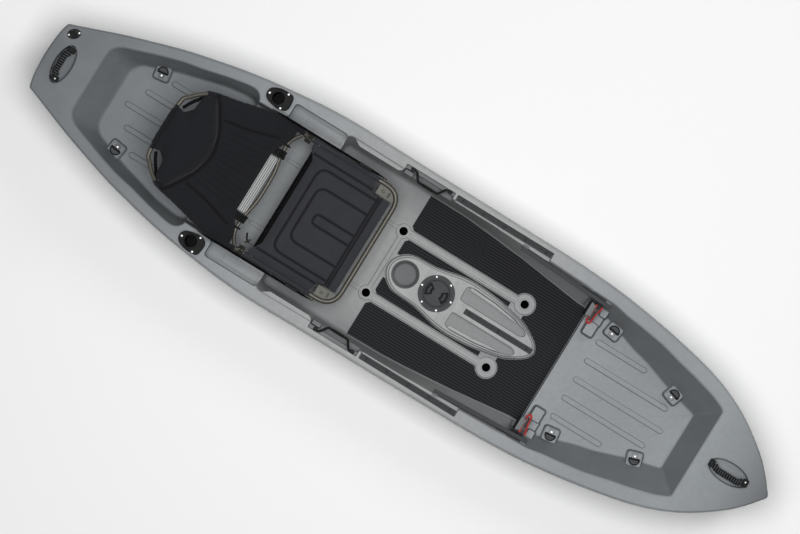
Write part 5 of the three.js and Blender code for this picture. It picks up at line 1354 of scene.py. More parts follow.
# The seat
def seat_frame():
    y, z = SEAT["half"], SEAT["z"]
    corners = [v3(SEAT["rear"], -y, z), v3(SEAT["front"], -y, z), v3(SEAT["front"], y, z),
               v3(SEAT["rear"], y, z)]
    loop = tube(bent_line(corners, SEAT["corner"], 14), SEAT["tube"], 24)
    cross = tube([v3(SEAT["cross_x"], -y, z), v3(SEAT["cross_x"], y, z)], SEAT["tube"] - 0.5, 24)
    parts = [loop, cross]
    height = SEAT["pivot_z"] - z
    for side in (-1, 1):
        ear = soft_rectangle(2 * BOLT["ear"], height + BOLT["ear"], BOLT["ear"] * 0.6, 8)
        plate = turned(bevelled(prism(ear, 0, BOLT["plate"]), 1), 90, "X")
        parts.append(moved(plate, SEAT["pivot_x"], side * EAR_Y + BOLT["plate"] / 2,
                           z + (height + BOLT["ear"]) / 2))
        length = strap_inner() - GAP - y
        lug = spun([(0, -length / 2), (STRAP["lug"], -length / 2), (STRAP["lug"], length / 2),
                    (0, length / 2)])
        lug = turned(lug, 90, "X")
        parts.append(moved(lug, STRAP["front"] - STRAP["lug_inset"], side * (y + length / 2), z))
        plug = spun([(0, -3), (SEAT["tube"] + 1, -3), (SEAT["tube"] + 1, 3), (SEAT["tube"] - 1, 5), (0, 5)])
        parts.append(moved(turned(plug, -90, "Y"), SEAT["rear"] + 3, side * y, z))
    frame_body = added(parts[0], *parts[1:])
    holes = [moved(across(BOLT["radius"] + BOLT["clear"], 2 * OVERRUN), SEAT["pivot_x"], side * EAR_Y,
                   SEAT["pivot_z"])
             for side in (-1, 1)]
    return cut(frame_body, *holes)


def across(radius, length, steps=32):
    """A round bar along Y."""
    bar = spun([(0, -length / 2), (radius, -length / 2), (radius, length / 2), (0, length / 2)], steps=steps)
    return turned(bar, 90, "X")


def leg_mesh(x):
    """A leg that stands across the floor's ridges, with a sleeve at each ridge and beside it."""
    floor = COCKPIT["floor"] + SEAT_RIDGE["height"] + GAP + LEG["tube"]
    top = SEAT["z"] - SEAT["tube"] - GAP
    corners = [v3(x, -SEAT["half"], top), v3(x, -LEG["foot_half"], floor), v3(x, LEG["foot_half"], floor),
               v3(x, SEAT["half"], top)]
    leg = tube(bent_line(corners, LEG["bend"], 8), LEG["tube"], LEG["sides"])
    sleeves = [tube([v3(x, side * inner, floor), v3(x, side * outer, floor)], LEG["tube"] + LEG["sleeve"],
                    LEG["sides"]) for side in (-1, 1) for inner, outer in LEG["sleeves"]]
    return added(leg, *sleeves)


def back_place(bm):
    """Turns a back piece from its own plane to the recline, at the pivot."""
    recline = Matrix.Rotation(math.radians(SEAT["recline"]), 3, "Y") @ Matrix.Rotation(TURN / 2, 3, "Z")
    bmesh.ops.rotate(bm, cent=v3(0, 0), matrix=recline, verts=bm.verts)
    return moved(bm, SEAT["pivot_x"], 0, SEAT["pivot_z"])


def back_points(shares):
    port = [v3(u * BACK["length"], v * BACK["pivot_half"]) for u, v in shares]
    return port + [v3(p.x, -p.y) for p in reversed(port)]


def back_frame():
    loop = tube(smooth_line(back_points(BACK["shares"]), 6), BACK["tube"], 20)
    bar = tube(smooth_line(back_points(BACK["bar_shares"]), 6), BACK["tube"] - ROOT / 2, 20)
    hubs = [moved(across(BOLT["ear"] - ROOT, 2 * BACK["tube"]), 0, side * HUB_Y) for side in (-1, 1)]
    inner = HUB_Y - BACK["tube"]
    clear = prism(rectangle(-2 * BOLT["ear"], 2 * BOLT["ear"], -inner, inner), -2 * BACK["tube"],
                  2 * BACK["tube"])
    bores = [moved(across(BOLT["radius"] + BOLT["clear"], 4 * OVERRUN), 0, side * HUB_Y) for side in (-1, 1)]
    whole = added(cut(added(loop, *hubs), clear), bar)
    return back_place(cut(whole, *bores))


def pivot_bolt():
    inner = EAR_Y - BOLT["plate"] / 2 - GAP
    outer = HUB_Y + BACK["tube"] + GAP
    head, height = BOLT["head"], BOLT["head_height"]
    profile = [(0, -height), (head - 2, -height), (head, 2 - height), (head, 0), (BOLT["radius"], 0),
               (BOLT["radius"], outer - inner), (head, outer - inner), (head, outer - inner + height - 2),
               (head - 2, outer - inner + height), (0, outer - inner + height)]
    return moved(turned(spun(profile, steps=40), -90, "X"), SEAT["pivot_x"], inner, SEAT["pivot_z"])


def pad_mesh(place, top, bottom, count):
    """A closed pad between two nets of heights over one plan, from rear to front and side to side."""
    along, sideways = count
    nets = []
    for height in (top, bottom):
        rows = []
        for i in range(along + 1):
            u = i / along
            row = [(v, place(u, v)) for v in (2 * j / sideways - 1 for j in range(sideways + 1))]
            rows.append([v3(p.x, p.y, height(u, v)) for v, p in row])
        nets.append(rows)
    bm = bmesh.new()
    for rows in nets:
        sheet(bm, rows)
    upper, lower = nets
    for rim in (0, -1):
        sheet(bm, [upper[rim], lower[rim]])
        sheet(bm, [[row[rim] for row in upper], [row[rim] for row in lower]])
    bmesh.ops.remove_doubles(bm, verts=bm.verts, dist=WELD)
    bmesh.ops.recalc_face_normals(bm, faces=bm.faces)
    return bm


def crown(u, v, power=4):
    w = 2 * u - 1
    return (1 - abs(w) ** power) * (1 - abs(v) ** power)


def width_at(shares, u):
    """The width share at a share of the length, from a table of both."""
    for (start, low), (end, high) in zip(shares, shares[1:]):
        if u <= end:
            t = (u - start) / (end - start)
            return low + (high - low) * t
    return shares[-1][1]


def swollen(bm, cap):
    """A pad blown up a little as cloth, where no point moves further than the cap."""
    scene = bpy.context.scene
    bmesh.ops.scale(bm, vec=v3(MM, MM, MM), verts=bm.verts)
    pad = plain_object(bm, "pad")
    even = pad.modifiers.new("even", "REMESH")
    even.mode, even.voxel_size = "VOXEL", SWELL["voxel"] * MM
    start = applied(pad)
    pad = plain_object(start.copy(), "pad")
    cloth = pad.modifiers.new("cloth", "CLOTH")
    cloth.settings.use_pressure, cloth.settings.uniform_pressure_force = True, SWELL["pressure"]
    cloth.settings.effector_weights.gravity = 0
    for step in range(1, SWELL["steps"] + 1):
        scene.frame_set(step)
    end = applied(pad)
    scene.frame_set(1)
    for vert, old in zip(end.verts, [vert.co.copy() for vert in start.verts]):
        move = vert.co - old
        vert.co = old + move * min(1, cap * MM / max(move.length, WELD * MM))
    start.free()
    bmesh.ops.scale(end, vec=v3(1 / MM, 1 / MM, 1 / MM), verts=end.verts)
    smoother = plain_object(end, "pad")
    smoother.modifiers.new("finer", "SUBSURF").levels = 1
    return applied(smoother)


def line_distance(p, line):
    """How far a point of the plan is from a line of points."""
    best = math.inf
    for a, b in zip(line, line[1:]):
        along_x, along_y = b.x - a.x, b.y - a.y
        length = along_x * along_x + along_y * along_y + WELD
        share = max(0.0, min(1.0, ((p.x - a.x) * along_x + (p.y - a.y) * along_y) / length))
        best = min(best, math.hypot(p.x - a.x - share * along_x, p.y - a.y - share * along_y))
    return best


def sewn(bm, lines, reach=SEAM["reach"], depth=SEAM["depth"]):
    """Draws the top of a pad down along its sewn lines and marks them to be painted dark there, as painted
    shade in the seams.
    """
    layer = bm.verts.layers.float.get("seam") or bm.verts.layers.float.new("seam")
    boxes = [(min(p.x for p in line) - reach, max(p.x for p in line) + reach, min(p.y for p in line) - reach,
              max(p.y for p in line) + reach, line) for line in lines]
    bm.normal_update()
    for vert in bm.verts:
        if vert.normal.z < 0.2:
            continue
        p = vert.co
        near = [line_distance(p, line) for x0, x1, y0, y1, line in boxes if x0 < p.x < x1 and y0 < p.y < y1]
        if near:
            share = max(0.0, 1 - min(near) / reach) ** 2
            p.z -= depth * share
            vert[layer] = max(vert[layer], share * depth / SEAM["depth"])
    return bm


def edge_line(place, start, end):
    """The outline of a pad between two shares of its length, on both sides of its low end."""
    shares = [start + (end - start) * k / 10 for k in range(11)]
    return [place(u, -1) for u in reversed(shares)] + [place(u, 1) for u in shares]


def marked(bm, line, reach):
    """Marks a pad along a line, on top and at its edge, to be painted dark there as painted shade."""
    layer = bm.verts.layers.float.get("seam") or bm.verts.layers.float.new("seam")
    for vert in bm.verts:
        vert[layer] = max(vert[layer], 1 - line_distance(vert.co, line) / reach)
    return bm


def sleeve(path, radius):
    """Cloth wrapped round a tube, with slight ripples."""
    fine = []
    for a, b in zip(path, path[1:]):
        count = max(1, int((b - a).length / 6))
        fine += [a.lerp(b, k / count) for k in range(count)]
    fine.append(path[-1])
    length = 6 * len(fine)
    size = radius + SLEEVE["thickness"]
    ripple = SLEEVE["ripple"]
    return tube(fine, lambda share: size + ripple * math.sin(TURN * share * length / SLEEVE["pitch"]), 20)


def smooth_share(value):
    share = max(0.0, min(1.0, value))
    return share * share * (3 - 2 * share)


def pan_place(u, v):
    """A place on the pan, whose rear corners reach back along the frame."""
    rear = PAN["rear"] - PAN["ear"] * smooth_share((abs(v) - PAN["ear_start"]) / (0.95 - PAN["ear_start"]))
    x = rear + u * (PAN["front"] - rear)
    return v3(x, v * PAN["half"] * width_at(PAN["widths"], u))


def pan_seams():
    """The pan's sewn lines: three frames open to the front, two lines across it and the bolsters' lines."""
    lines = []
    for rear, front, half, corner in PAN["frames"]:
        lines.append(bent_line([v3(front, -half), v3(rear, -half), v3(rear, half), v3(front, half)], corner))
    lines += [[v3(x, -PAN["bolster"]), v3(x, PAN["bolster"])] for x in PAN["front_seams"]]
    for side in (-1, 1):
        lines.append([v3(PAN["rear"], side * PAN["bolster"]), v3(-300, side * PAN["bolster"])])
    return lines


def pan_sleeves():
    """The cloth where it wraps the frame's side tubes."""
    y, z = SEAT["half"], SEAT["z"]
    start, end = SLEEVE["side"]
    paths = [[v3(start, side * y, z), v3(end, side * y, z)] for side in (-1, 1)]
    return [sleeve(path, SEAT["tube"]) for path in paths]


def rear_hem():
    """The cord that laces the pan's rear hem round the cross tube."""
    x, y, z = SEAT["cross_x"], SEAT["half"] - HEM["inset"], SEAT["z"]
    steps = HEM["steps"] * int(2 * y / HEM["pitch"])
    reach = SEAT["tube"] + HEM["radius"]
    angles = [TURN * k / HEM["steps"] for k in range(steps + 1)]
    path = [v3(x + reach * math.cos(angle), y * (2 * k / steps - 1), z + reach * math.sin(angle))
            for k, angle in enumerate(angles)]
    return tube(path, HEM["radius"], HEM["around"])


def pan_mesh():
    low = SEAT["z"] + SEAT["tube"] + GAP

    def top(u, v):
        return low + PAN["edge"] + (PAN["thickness"] - PAN["edge"]) * crown(u, v)
    pad = swollen(pad_mesh(pan_place, top, lambda u, v: low, PAN["count"]), PAN["swell"])
    return sewn(joined(pad, *pan_sleeves()), pan_seams())


def panel_low(across):
    """Where the panel's hem lies, from its middle to its corners, which reach down to the hubs."""
    start, end = PANEL["dip_range"]
    return PANEL["low"] - PANEL["dip"] * smooth_share((abs(across) - start) / (end - start))


def panel_place(u, v):
    low = panel_low(v)
    return v3(low + u * (PANEL["high"] - low), v * PANEL["half"] * width_at(PANEL["widths"], u))


def panel_sleeves():
    """The cloth where it wraps the back frame's sides and top."""
    path = smooth_line(back_points(BACK["shares"]), 6)
    low, high = SLEEVE["back"]
    runs = [[p for p in path if low < p.x < high and side * p.y > 0] for side in (1, -1)]
    runs.append([p for p in path if p.x > high and abs(p.y) < SLEEVE["top"]])
    return [sleeve(run, BACK["tube"]) for run in runs]


def panel_mesh():
    low = BACK["tube"] + GAP

    def top(u, v):
        return low + PANEL["edge"] + (PANEL["thickness"] - PANEL["edge"]) * crown(u, v, 6)
    pad = swollen(pad_mesh(panel_place, top, lambda u, v: low, PANEL["count"]), PANEL["swell"])
    bolsters = [[v3(u, side * y) for u, y in PANEL["bolster"]] for side in (-1, 1)]
    pad = sewn(joined(pad, *panel_sleeves()), bolsters)
    low_end, high_end = PANEL["pleats"]
    count = int(PANEL["pleat_half"] // PANEL["pleat_pitch"])
    pleats = [[v3(high_end, k * PANEL["pleat_pitch"]), v3(low_end, 1.25 * k * PANEL["pleat_pitch"])]
              for k in range(-count, count + 1)]
    pad = sewn(pad, pleats, FOLD["reach"], FOLD["depth"])
    # The panel is marked along the headrest's lower edge, as the headrest's painted shadow
    return back_place(marked(pad, edge_line(headrest_place, 0, 0.42), HEADREST["shade"]))


def headrest_place(u, v):
    h = HEADREST
    return v3(h["low"] + u * (h["high"] - h["low"]), v * h["half"] * width_at(h["widths"], u))


def headrest_mesh():
    h = HEADREST
    low = BACK["tube"] + PANEL["thickness"] + 2 * GAP

    def top(u, v):
        return low + h["edge"] + (h["thickness"] + h["crown"] - h["edge"]) * crown(u, v)
    pad = swollen(pad_mesh(headrest_place, top, lambda u, v: low, h["count"]), h["swell"])
    # The headrest is marked along its own lower edge, as painted shade
    return back_place(marked(pad, edge_line(headrest_place, 0, 0.42), h["shade"]))


def lumbar_band():
    """The pale mesh band between the back panel's hem and the lower bar, in the back's own plane."""
    cosine = math.cos(math.radians(SEAT["recline"]))
    low, high = ((SEAT["pivot_x"] - x) / cosine for x in (BAND["front"], BAND["rear"]))
    count, half_columns = BAND["rows"], BAND["half_columns"]
    rows = [[v3(low + (high - low) * i / count, BAND["half"] * (j / half_columns - 1),
                BAND["crown"] * math.sin(TURN * i / (2 * count)))
             for j in range(2 * half_columns + 1)] for i in range(count + 1)]
    bm = bmesh.new()
    sheet(bm, rows)
    bmesh.ops.recalc_face_normals(bm, faces=bm.faces)
    bmesh.ops.solidify(bm, geom=bm.faces[:], thickness=BAND["thickness"])
    bmesh.ops.recalc_face_normals(bm, faces=bm.faces)
    return back_place(bm)


def corner_webbing():
    """The black band inside each top corner of the back frame, from the headrest to the top hem."""
    bands = []
    for side in (-1, 1):
        points = [v3(u * BACK["length"], side * v * BACK["pivot_half"]) for u, v in CORNER_BAND["shares"]]
        line = smooth_line(points, CORNER_BAND["steps"])
        half, thick = CORNER_BAND["width"] / 2, CORNER_BAND["thickness"]
        across = v3(CORNER_BAND["across"][0], side * CORNER_BAND["across"][1])
        rings = [[p - across * half, p + across * half, p + across * half + v3(0, 0, thick),
                  p - across * half + v3(0, 0, thick)] for p in line]
        bands.append(loft(rings))
    return back_place(moved(joined(*bands), 0, 0, CORNER_BAND["height"]))


def laces():
    """Elastic loops from the panel's hem round the lower bar."""
    bar = smooth_line(back_points(BACK["bar_shares"]), LACE["bar_steps"])
    loops = []
    for side in (-1, 1):
        for y in LACE["places"]:
            foot = min(bar, key=lambda p: abs(p.y - side * y))
            near = foot.x - BACK["tube"] - LACE["radius"] - LACE["clear"]
            far = panel_low(y / PANEL["half"]) + LACE["hem"]
            reach, middle = (far - near) / 2, (far + near) / 2
            height = BACK["tube"] + LACE["radius"] + LACE["clear"]
            angles = [TURN * k / LACE["steps"] for k in range(LACE["steps"])]
            ring = [v3(middle + reach * math.cos(a), side * y, height * math.sin(a)) for a in angles]
            loops.append(tube(ring, LACE["radius"], LACE["around"], looped=True))
    return back_place(joined(*loops))


def gusset():
    """The steel plate in a front corner of the frame, with its slot."""
    g, z = GUSSET_PLATE, SEAT["z"]
    plate = bevelled(prism([v3(x, y) for x, y in GUSSET], z - g["half"], z + g["half"]), g["edge"])
    slot = placed(pill(g["slot_length"], g["slot_width"]), g["slot_x"], g["slot_y"], 0, 90)
    return cut(plate, prism(slot, z - OVERRUN, z + OVERRUN))


def gusset_screw():
    s = GUSSET_SCREW
    return moved(screw(s["radius"], s["height"]), s["x"], s["y"], SEAT["z"] + GUSSET_PLATE["half"])


def hinge_cover():
    """The drab cloth cover round each hub of the back, over the tubes' cut ends."""
    radius, width, edge = BOOT["radius"], BOOT["width"], BOOT["edge"]
    profile = [(0, 0), (radius - edge, 0), (radius, edge), (radius, width - edge),
               (radius - edge, width), (0, width)]
    cover = turned(spun(profile, steps=BOOT["steps"]), -90, "X")
    return moved(cover, SEAT["pivot_x"], BOOT["inner"], SEAT["pivot_z"])


def toggle_hook():
    """The small hook that hangs from the frame's cross tube to starboard."""
    h, x, z = HOOK, SEAT["cross_x"], SEAT["z"]
    low = z - h["drop"]
    angles = [TURN * k / h["ring_steps"] for k in range(h["ring_steps"])]
    ring = [v3(x + h["ring"] * math.cos(a), h["y"], z + h["ring"] * math.sin(a)) for a in angles]
    fall = [v3(x + h["knot"][0], h["y"], z + h["knot"][1]), v3(x + h["end"], h["y"], low)]
    stem, bar = ([v3(x + along, y, low) for along, y in h[part]] for part in ("stem", "bar"))
    return joined(
        tube(ring, h["ring_cord"], h["cord_sides"], looped=True), tube(fall, h["cord"], h["cord_sides"]),
        tube(smooth_line(stem, h["stem_steps"]), h["rod"], h["rod_sides"]),
        tube(bar, h["rod"], h["rod_sides"]))


# Straps and buckles
def strap_inner():
    widest = max(across for _, across in BACK["shares"])
    return BACK["pivot_half"] * widest + BACK["tube"] + 2 * GAP


def back_z(x):
    return SEAT["pivot_z"] + (SEAT["pivot_x"] - x) * math.tan(math.radians(SEAT["recline"]))


def strap_z(x):
    rear = back_z(STRAP["rear"])
    return rear + (x - STRAP["rear"]) / (STRAP["front"] - STRAP["rear"]) * (SEAT["z"] - rear)


def strap_mesh():
    """The webbing, which turns a little out of upright between its ends."""
    count, inner = 80, strap_inner()
    rings = []
    for k in range(count + 1):
        share = k / count
        x = STRAP["rear"] + (STRAP["front"] - STRAP["rear"]) * share
        twist = math.radians(STRAP["twist"]) * smooth_share(STRAP["twist_rate"] * min(share, 1 - share))
        spin = Matrix.Rotation(-twist, 3, "X")
        center = v3(x, inner + STRAP["thickness"] / 2, strap_z(x))
        half, thin = STRAP["width"] / 2, STRAP["thickness"] / 2
        section = ((-thin, -half), (thin, -half), (thin, half), (-thin, half))
        rings.append([center + spin @ v3(0, y, z) for y, z in section])
    return loft(rings)


def buckle_mesh():
    b, thin = BUCKLE, BUCKLE["thickness"]
    rise, run = strap_z(STRAP["rear"]) - strap_z(STRAP["front"]), STRAP["front"] - STRAP["rear"]
    loop = soft_rectangle(b["length"], b["height"], thin * b["corner"])
    body = turned(bevelled(prism(loop, -thin / 2, thin / 2), b["edge"], 2), 90, "X")
    clear, half = STRAP["thickness"] / 2 + b["clear"], STRAP["width"] / 2 + b["clear"]
    slot = prism(rectangle(-b["length"], b["length"], -clear, clear), -half, half)
    body = turned(cut(body, slot), math.degrees(math.atan2(rise, run)), "Y")
    return moved(body, b["x"], strap_inner() + STRAP["thickness"] / 2, strap_z(b["x"]))


# Materials
HULL_GRAINS = ((150, 4, 0.6), (22, 5, 0.6), (1.5, 2, 0.5))
HULL_WASHES = (((0.3, 0.7), 0.22, "878b8c"), ((0.35, 0.7), 0.16, "7c8082"), ((0.6, 0.74), 0.2, "5f6365"))
HULL_DRIFT = 90
# Painted shade low in the cockpit, darker towards its sides; it also darkens the hull's outside below that
# height
HULL_LOW_SHADE = dict(z=(160, 128), share=0.24, side=(200, 340), side_share=0.3)
# Painted shade on the cockpit's side walls amidships, under the gunwale pockets
HULL_WALL_SHADE = dict(low=(140, 170), high=(312, 296), bow=(520, 120), stern=(-260, -240),
                 inner=(300, 330), outer=(404, 394))
# Painted light along the hull: greys from stern to bow, paler amidships and darker towards both ends
HULL_PAINTED_LIGHT = ((0, "63676b"), (0.1, "72777b"), (0.16, "7b8084"), (0.3, "93979a"), (0.45, "a5a6a6"),
              (0.6, "a5a6a6"), (0.72, "92969a"), (0.8, "8d9194"), (0.9, "93989b"), (0.95, "83888b"),
              (1, "575b5e"))


def linear(code):
    """A colour as the shader wants it, from a hexadecimal code."""
    shares = [int(code[i:i + 2], 16) / 255 for i in (0, 2, 4)]
    return [share / 12.92 if share <= 0.04045 else ((share + 0.055) / 1.055) ** 2.4 for share in shares] + [1]


class Value:
    """A socket of a material's nodes, on which Python's operators make Math nodes."""

    def __init__(self, paint, socket):
        self.paint, self.socket = paint, socket

    def math(self, operation, *values):
        return self.paint.node("ShaderNodeMath", {"operation": operation}, dict(enumerate(values)))

    def __add__(self, other):
        return self.math("ADD", self, other)

    def __radd__(self, other):
        return self.math("ADD", other, self)

    def __sub__(self, other):
        return self.math("SUBTRACT", self, other)

    def __rsub__(self, other):
        return self.math("SUBTRACT", other, self)

    def __mul__(self, other):
        return self.math("MULTIPLY", self, other)

    def __rmul__(self, other):
        return self.math("MULTIPLY", other, self)

    def __truediv__(self, other):
        return self.math("DIVIDE", self, other)

    def __pow__(self, other):
        return self.math("POWER", self, other)

    def wave(self):
        return self.math("SINE", self)

    def size(self):
        return self.math("ABSOLUTE", self)

    def step(self, low, high):
        """0 below low and 1 above high, with a soft change between."""
        return self.paint.node("ShaderNodeMapRange", {"interpolation_type": "SMOOTHSTEP"},
                               {"Value": self, "From Min": low, "From Max": high}, "Result")


class Paint:
    """A material in the making."""

    def __init__(self, name, metallic=0.0, **constants):
        self.material = bpy.data.materials.new(name)
        self.material.use_nodes = True
        self.tree = self.material.node_tree
        self.shader = self.tree.nodes["Principled BSDF"]
        self.shader.inputs["Metallic"].default_value = metallic
        for socket, value in constants.items():
            self.shader.inputs[socket.replace("_", " ")].default_value = value

    def feed(self, socket, value):
        if isinstance(value, Value):
            self.tree.links.new(value.socket, socket)
        elif value is not None:
            socket.default_value = value

    def node(self, kind, settings=None, values=None, output=0):
        made = self.tree.nodes.new(kind)
        for name, setting in (settings or {}).items():
            setattr(made, name, setting)
        for name, value in (values or {}).items():
            self.feed(made.inputs[name], value)
        return Value(self, made.outputs[output])

    def place(self):
        return self.node("ShaderNodeTexCoord", output="Object")

    def parts(self, vector):
        """The three parts of a place, in millimetres."""
        split = self.tree.nodes.new("ShaderNodeSeparateXYZ")
        self.feed(split.inputs[0], vector)
        return [Value(self, socket) / MM for socket in split.outputs]

    def noise(self, size, detail=3, roughness=0.55, place=None, stretch=(1, 1, 1)):
        """Noise whose features are about size millimetres across."""
        scaled = self.node("ShaderNodeVectorMath", {"operation": "MULTIPLY"},
                           {0: place or self.place(), 1: [1 / (size * MM * part) for part in stretch]})
        return self.node("ShaderNodeTexNoise", {}, {"Vector": scaled, "Scale": 1, "Detail": detail,
                                                    "Roughness": roughness})

    def mix(self, factor, first, second, blend="MIX"):
        made = self.tree.nodes.new("ShaderNodeMix")
        made.data_type, made.blend_type = "RGBA", blend
        for index, value in ((0, factor), (6, first), (7, second)):
            self.feed(made.inputs[index], value)
        return Value(self, made.outputs[2])

    def ramp(self, value, stops):
        """Blends through colours, each at its share from 0 to 1."""
        made = self.tree.nodes.new("ShaderNodeValToRGB")
        elements = made.color_ramp.elements
        while len(elements) < len(stops):
            elements.new(1)
        for element, (share, code) in zip(elements, stops):
            element.position, element.color = share, linear(code)
        self.feed(made.inputs[0], value)
        return Value(self, made.outputs[0])

    def bump(self, height, depth, strength=1.0):
        """A bump from a height of 0 to 1 that stands for depth millimetres."""
        return self.node("ShaderNodeBump", {},
                         {"Height": height, "Distance": depth * MM, "Strength": strength}, "Normal")

    def done(self, color=None, roughness=None, normal=None):
        for name, value in (("Base Color", color), ("Roughness", roughness), ("Normal", normal)):
            self.feed(self.shader.inputs[name], value)
        return self.material

    def marked(self, layer):
        """What a piece's mesh carries in one of its attributes."""
        return self.node("ShaderNodeAttribute", {"attribute_name": layer}, output="Fac")


def hull_paint():
    """Rotomoulded plastic: clouds, specks and a fine grain over greys that blend from stern to bow as painted
    light, with painted shade low in the cockpit and on its side walls, and the faces' marked tones.
    """
    paint = Paint("hull_plastic", Specular_IOR_Level=0.35)
    x, y, z = paint.parts(paint.place())
    cloud, mottle, speck = (paint.noise(*grain) for grain in HULL_GRAINS)
    # Painted light: paler amidships and darker towards the ends
    color = paint.ramp((x + HULL_DRIFT * (cloud - 0.5)) / HULL["length"] + 0.5, HULL_PAINTED_LIGHT)
    tone = paint.marked("tone")
    deep, wall = HULL_LOW_SHADE, HULL_WALL_SHADE
    # Painted shade low in the cockpit, darker towards the sides
    shade = z.step(*deep["z"]) * (deep["share"] + deep["side_share"] * y.size().step(*deep["side"]))
    color = paint.mix(shade, color, linear("55585a"))
    # Painted shade on the cockpit's side walls amidships
    band = z.step(*wall["low"]) * z.step(*wall["high"]) * x.step(*wall["bow"]) * x.step(*wall["stern"])
    band = band * y.size().step(*wall["inner"]) * y.size().step(*wall["outer"])
    color = paint.mix(band * 0.5, color, linear("4a4d4f"))
    # Marked tones: paler above zero, and painted shade below zero
    color = paint.mix(tone.step(0, 1), color, linear("c3c5c5"))
    color = paint.mix((-1 * tone).step(0, 1), color, linear("55585a"))
    for noise, (reach, share, tint) in zip((cloud, mottle, speck), HULL_WASHES):
        color = paint.mix(noise.step(*reach) * share, color, linear(tint))
    roughness = 0.46 + 0.14 * mottle + 0.05 * speck
    return paint.done(color, roughness, paint.bump(paint.noise(1.1, 3) + 0.6 * mottle, 0.16, 0.5))


def moulded_paint(name, low, high, roughness=0.5, grain=0.9):
    """Moulded plastic with a fine grain and paler edges, worn and painted as a highlight."""
    paint = Paint(name, Specular_IOR_Level=0.12)
    cloud = paint.noise(9, 4)
    color = paint.mix(cloud, linear(low), linear(high))
    # Edges painted paler, as wear and as a painted highlight
    edge = paint.node("ShaderNodeNewGeometry", output="Pointiness")
    color = paint.mix(edge.step(0.53, 0.62) * 0.12, color, linear("8a8a8a"))
    # A tone below zero paints near black, as painted shade in the lid's finger wells; above zero paints paler
    # grey
    tone = paint.marked("tone")
    color = paint.mix((-1 * tone).step(0, 1), color, linear("060607"))
    color = paint.mix(tone.step(0, 1), color, linear("4a4b4d"))
    return paint.done(color, roughness - 0.08 + 0.16 * cloud, paint.bump(paint.noise(grain, 2), 0.1, 0.6))


def mat_paint():
    """Foam sheet with ribs cut along its length and a brushed surface, with painted shade darker in the grooves
    between the ribs.
    """
    paint = Paint("mat_foam", Specular_IOR_Level=0.3)
    _, y, _ = paint.parts(paint.place())
    rib = (y * (TURN / MAT["pitch"])).wave().step(-0.9, -0.35)
    dust = paint.noise(3, 4)
    color = paint.mix(dust, linear("212225"), linear("2c2d31"))
    # The grooves between the ribs are painted darker, as painted shade
    color = paint.mix(rib, linear("0f1012"), color)
    return paint.done(color, 0.78 + 0.12 * dust, paint.bump(rib + 0.08 * paint.noise(0.8, 2), MAT["rib"]))


def woven(across, along, pitch):
    """The heights of a plain weave, from two directions in millimetres."""
    first = (across * (TURN / pitch)).wave()
    second = (along * (TURN / pitch)).wave()
    return (first * second) * 0.5 + 0.5


def fabric_paint(name, low, high, pitch, sheen=0.1, stripe=None):
    """Heavy woven cloth: crossed yarns, a loose nap, slight fading, painted shade where the pad is marked, and
    stripes across where asked for.
    """
    paint = Paint(name, Specular_IOR_Level=0.15, Sheen_Weight=sheen, Sheen_Roughness=0.5)
    x, y, _ = paint.parts(paint.place())
    weave = woven(x, y, pitch)
    fade = paint.noise(60, 4)
    yarn = paint.noise(1.4, 3)
    seam = paint.marked("seam")
    color = paint.mix(fade * 0.6 + yarn * 0.4, linear(low), linear(high))
    color = paint.mix(weave.step(0.2, 0.8), paint.mix(0.5, color, linear("050505")), color)
    # Painted shade where the pad is marked: in its seams and along the headrest's lower edge
    color = paint.mix(seam.step(0, 0.8) * 0.7, color, linear("08080a"))
    if stripe:
        color = paint.mix((x * (TURN / stripe)).wave().step(-0.2, 0.6) * 0.75, color, linear("3c3d3d"))
    return paint.done(color, 0.82 + 0.1 * yarn, paint.bump(weave + 0.3 * yarn, 0.4, 0.7))


def tube_paint():
    """Drab anodised tube with faint drawing lines and rubbed places."""
    paint = Paint("frame_tube", metallic=0.55, Specular_IOR_Level=0.5)
    streak = paint.noise(2.5, 3, stretch=(12, 1, 12))
    rub = paint.noise(40, 5, 0.65)
    color = paint.mix(streak, linear("514f49"), linear("625f58"))
    color = paint.mix(rub.step(0.58, 0.75) * 0.5, color, linear("8a877e"))
    return paint.done(color, 0.36 + 0.2 * rub, paint.bump(streak, 0.05, 0.5))


def metal_paint(name, low, high, metallic, roughness):
    """Bare or coated metal with fine scratches."""
    paint = Paint(name, metallic=metallic)
    scratch = paint.noise(0.8, 3, stretch=(30, 1, 1))
    cloud = paint.noise(14, 3)
    color = paint.mix(cloud * 0.6 + scratch * 0.4, linear(low), linear(high))
    return paint.done(color, roughness + 0.18 * scratch, paint.bump(scratch, 0.04, 0.5))


def cord_paint():
    """Braided cord: crossed strands round the cord and a paler tracer."""
    paint = Paint("red_cord", Specular_IOR_Level=0.3, Sheen_Weight=0.2)
    x, y, z = paint.parts(paint.place())
    braid = ((y + z + x) * (TURN / 2.4)).wave() * ((y + z - x) * (TURN / 2.4)).wave() * 0.5 + 0.5
    color = paint.mix(braid.step(0.25, 0.75), linear("8e1d1c"), linear("d23a34"))
    return paint.done(color, 0.7 + 0.1 * braid, paint.bump(braid, 0.35))


def rubber_paint():
    paint = Paint("black_rubber", Specular_IOR_Level=0.12)
    dust = paint.noise(4, 4)
    color = paint.mix(dust, linear("141414"), linear("1f1f20"))
    return paint.done(color, 0.6 + 0.2 * dust, paint.bump(paint.noise(0.5, 2), 0.06, 0.5))


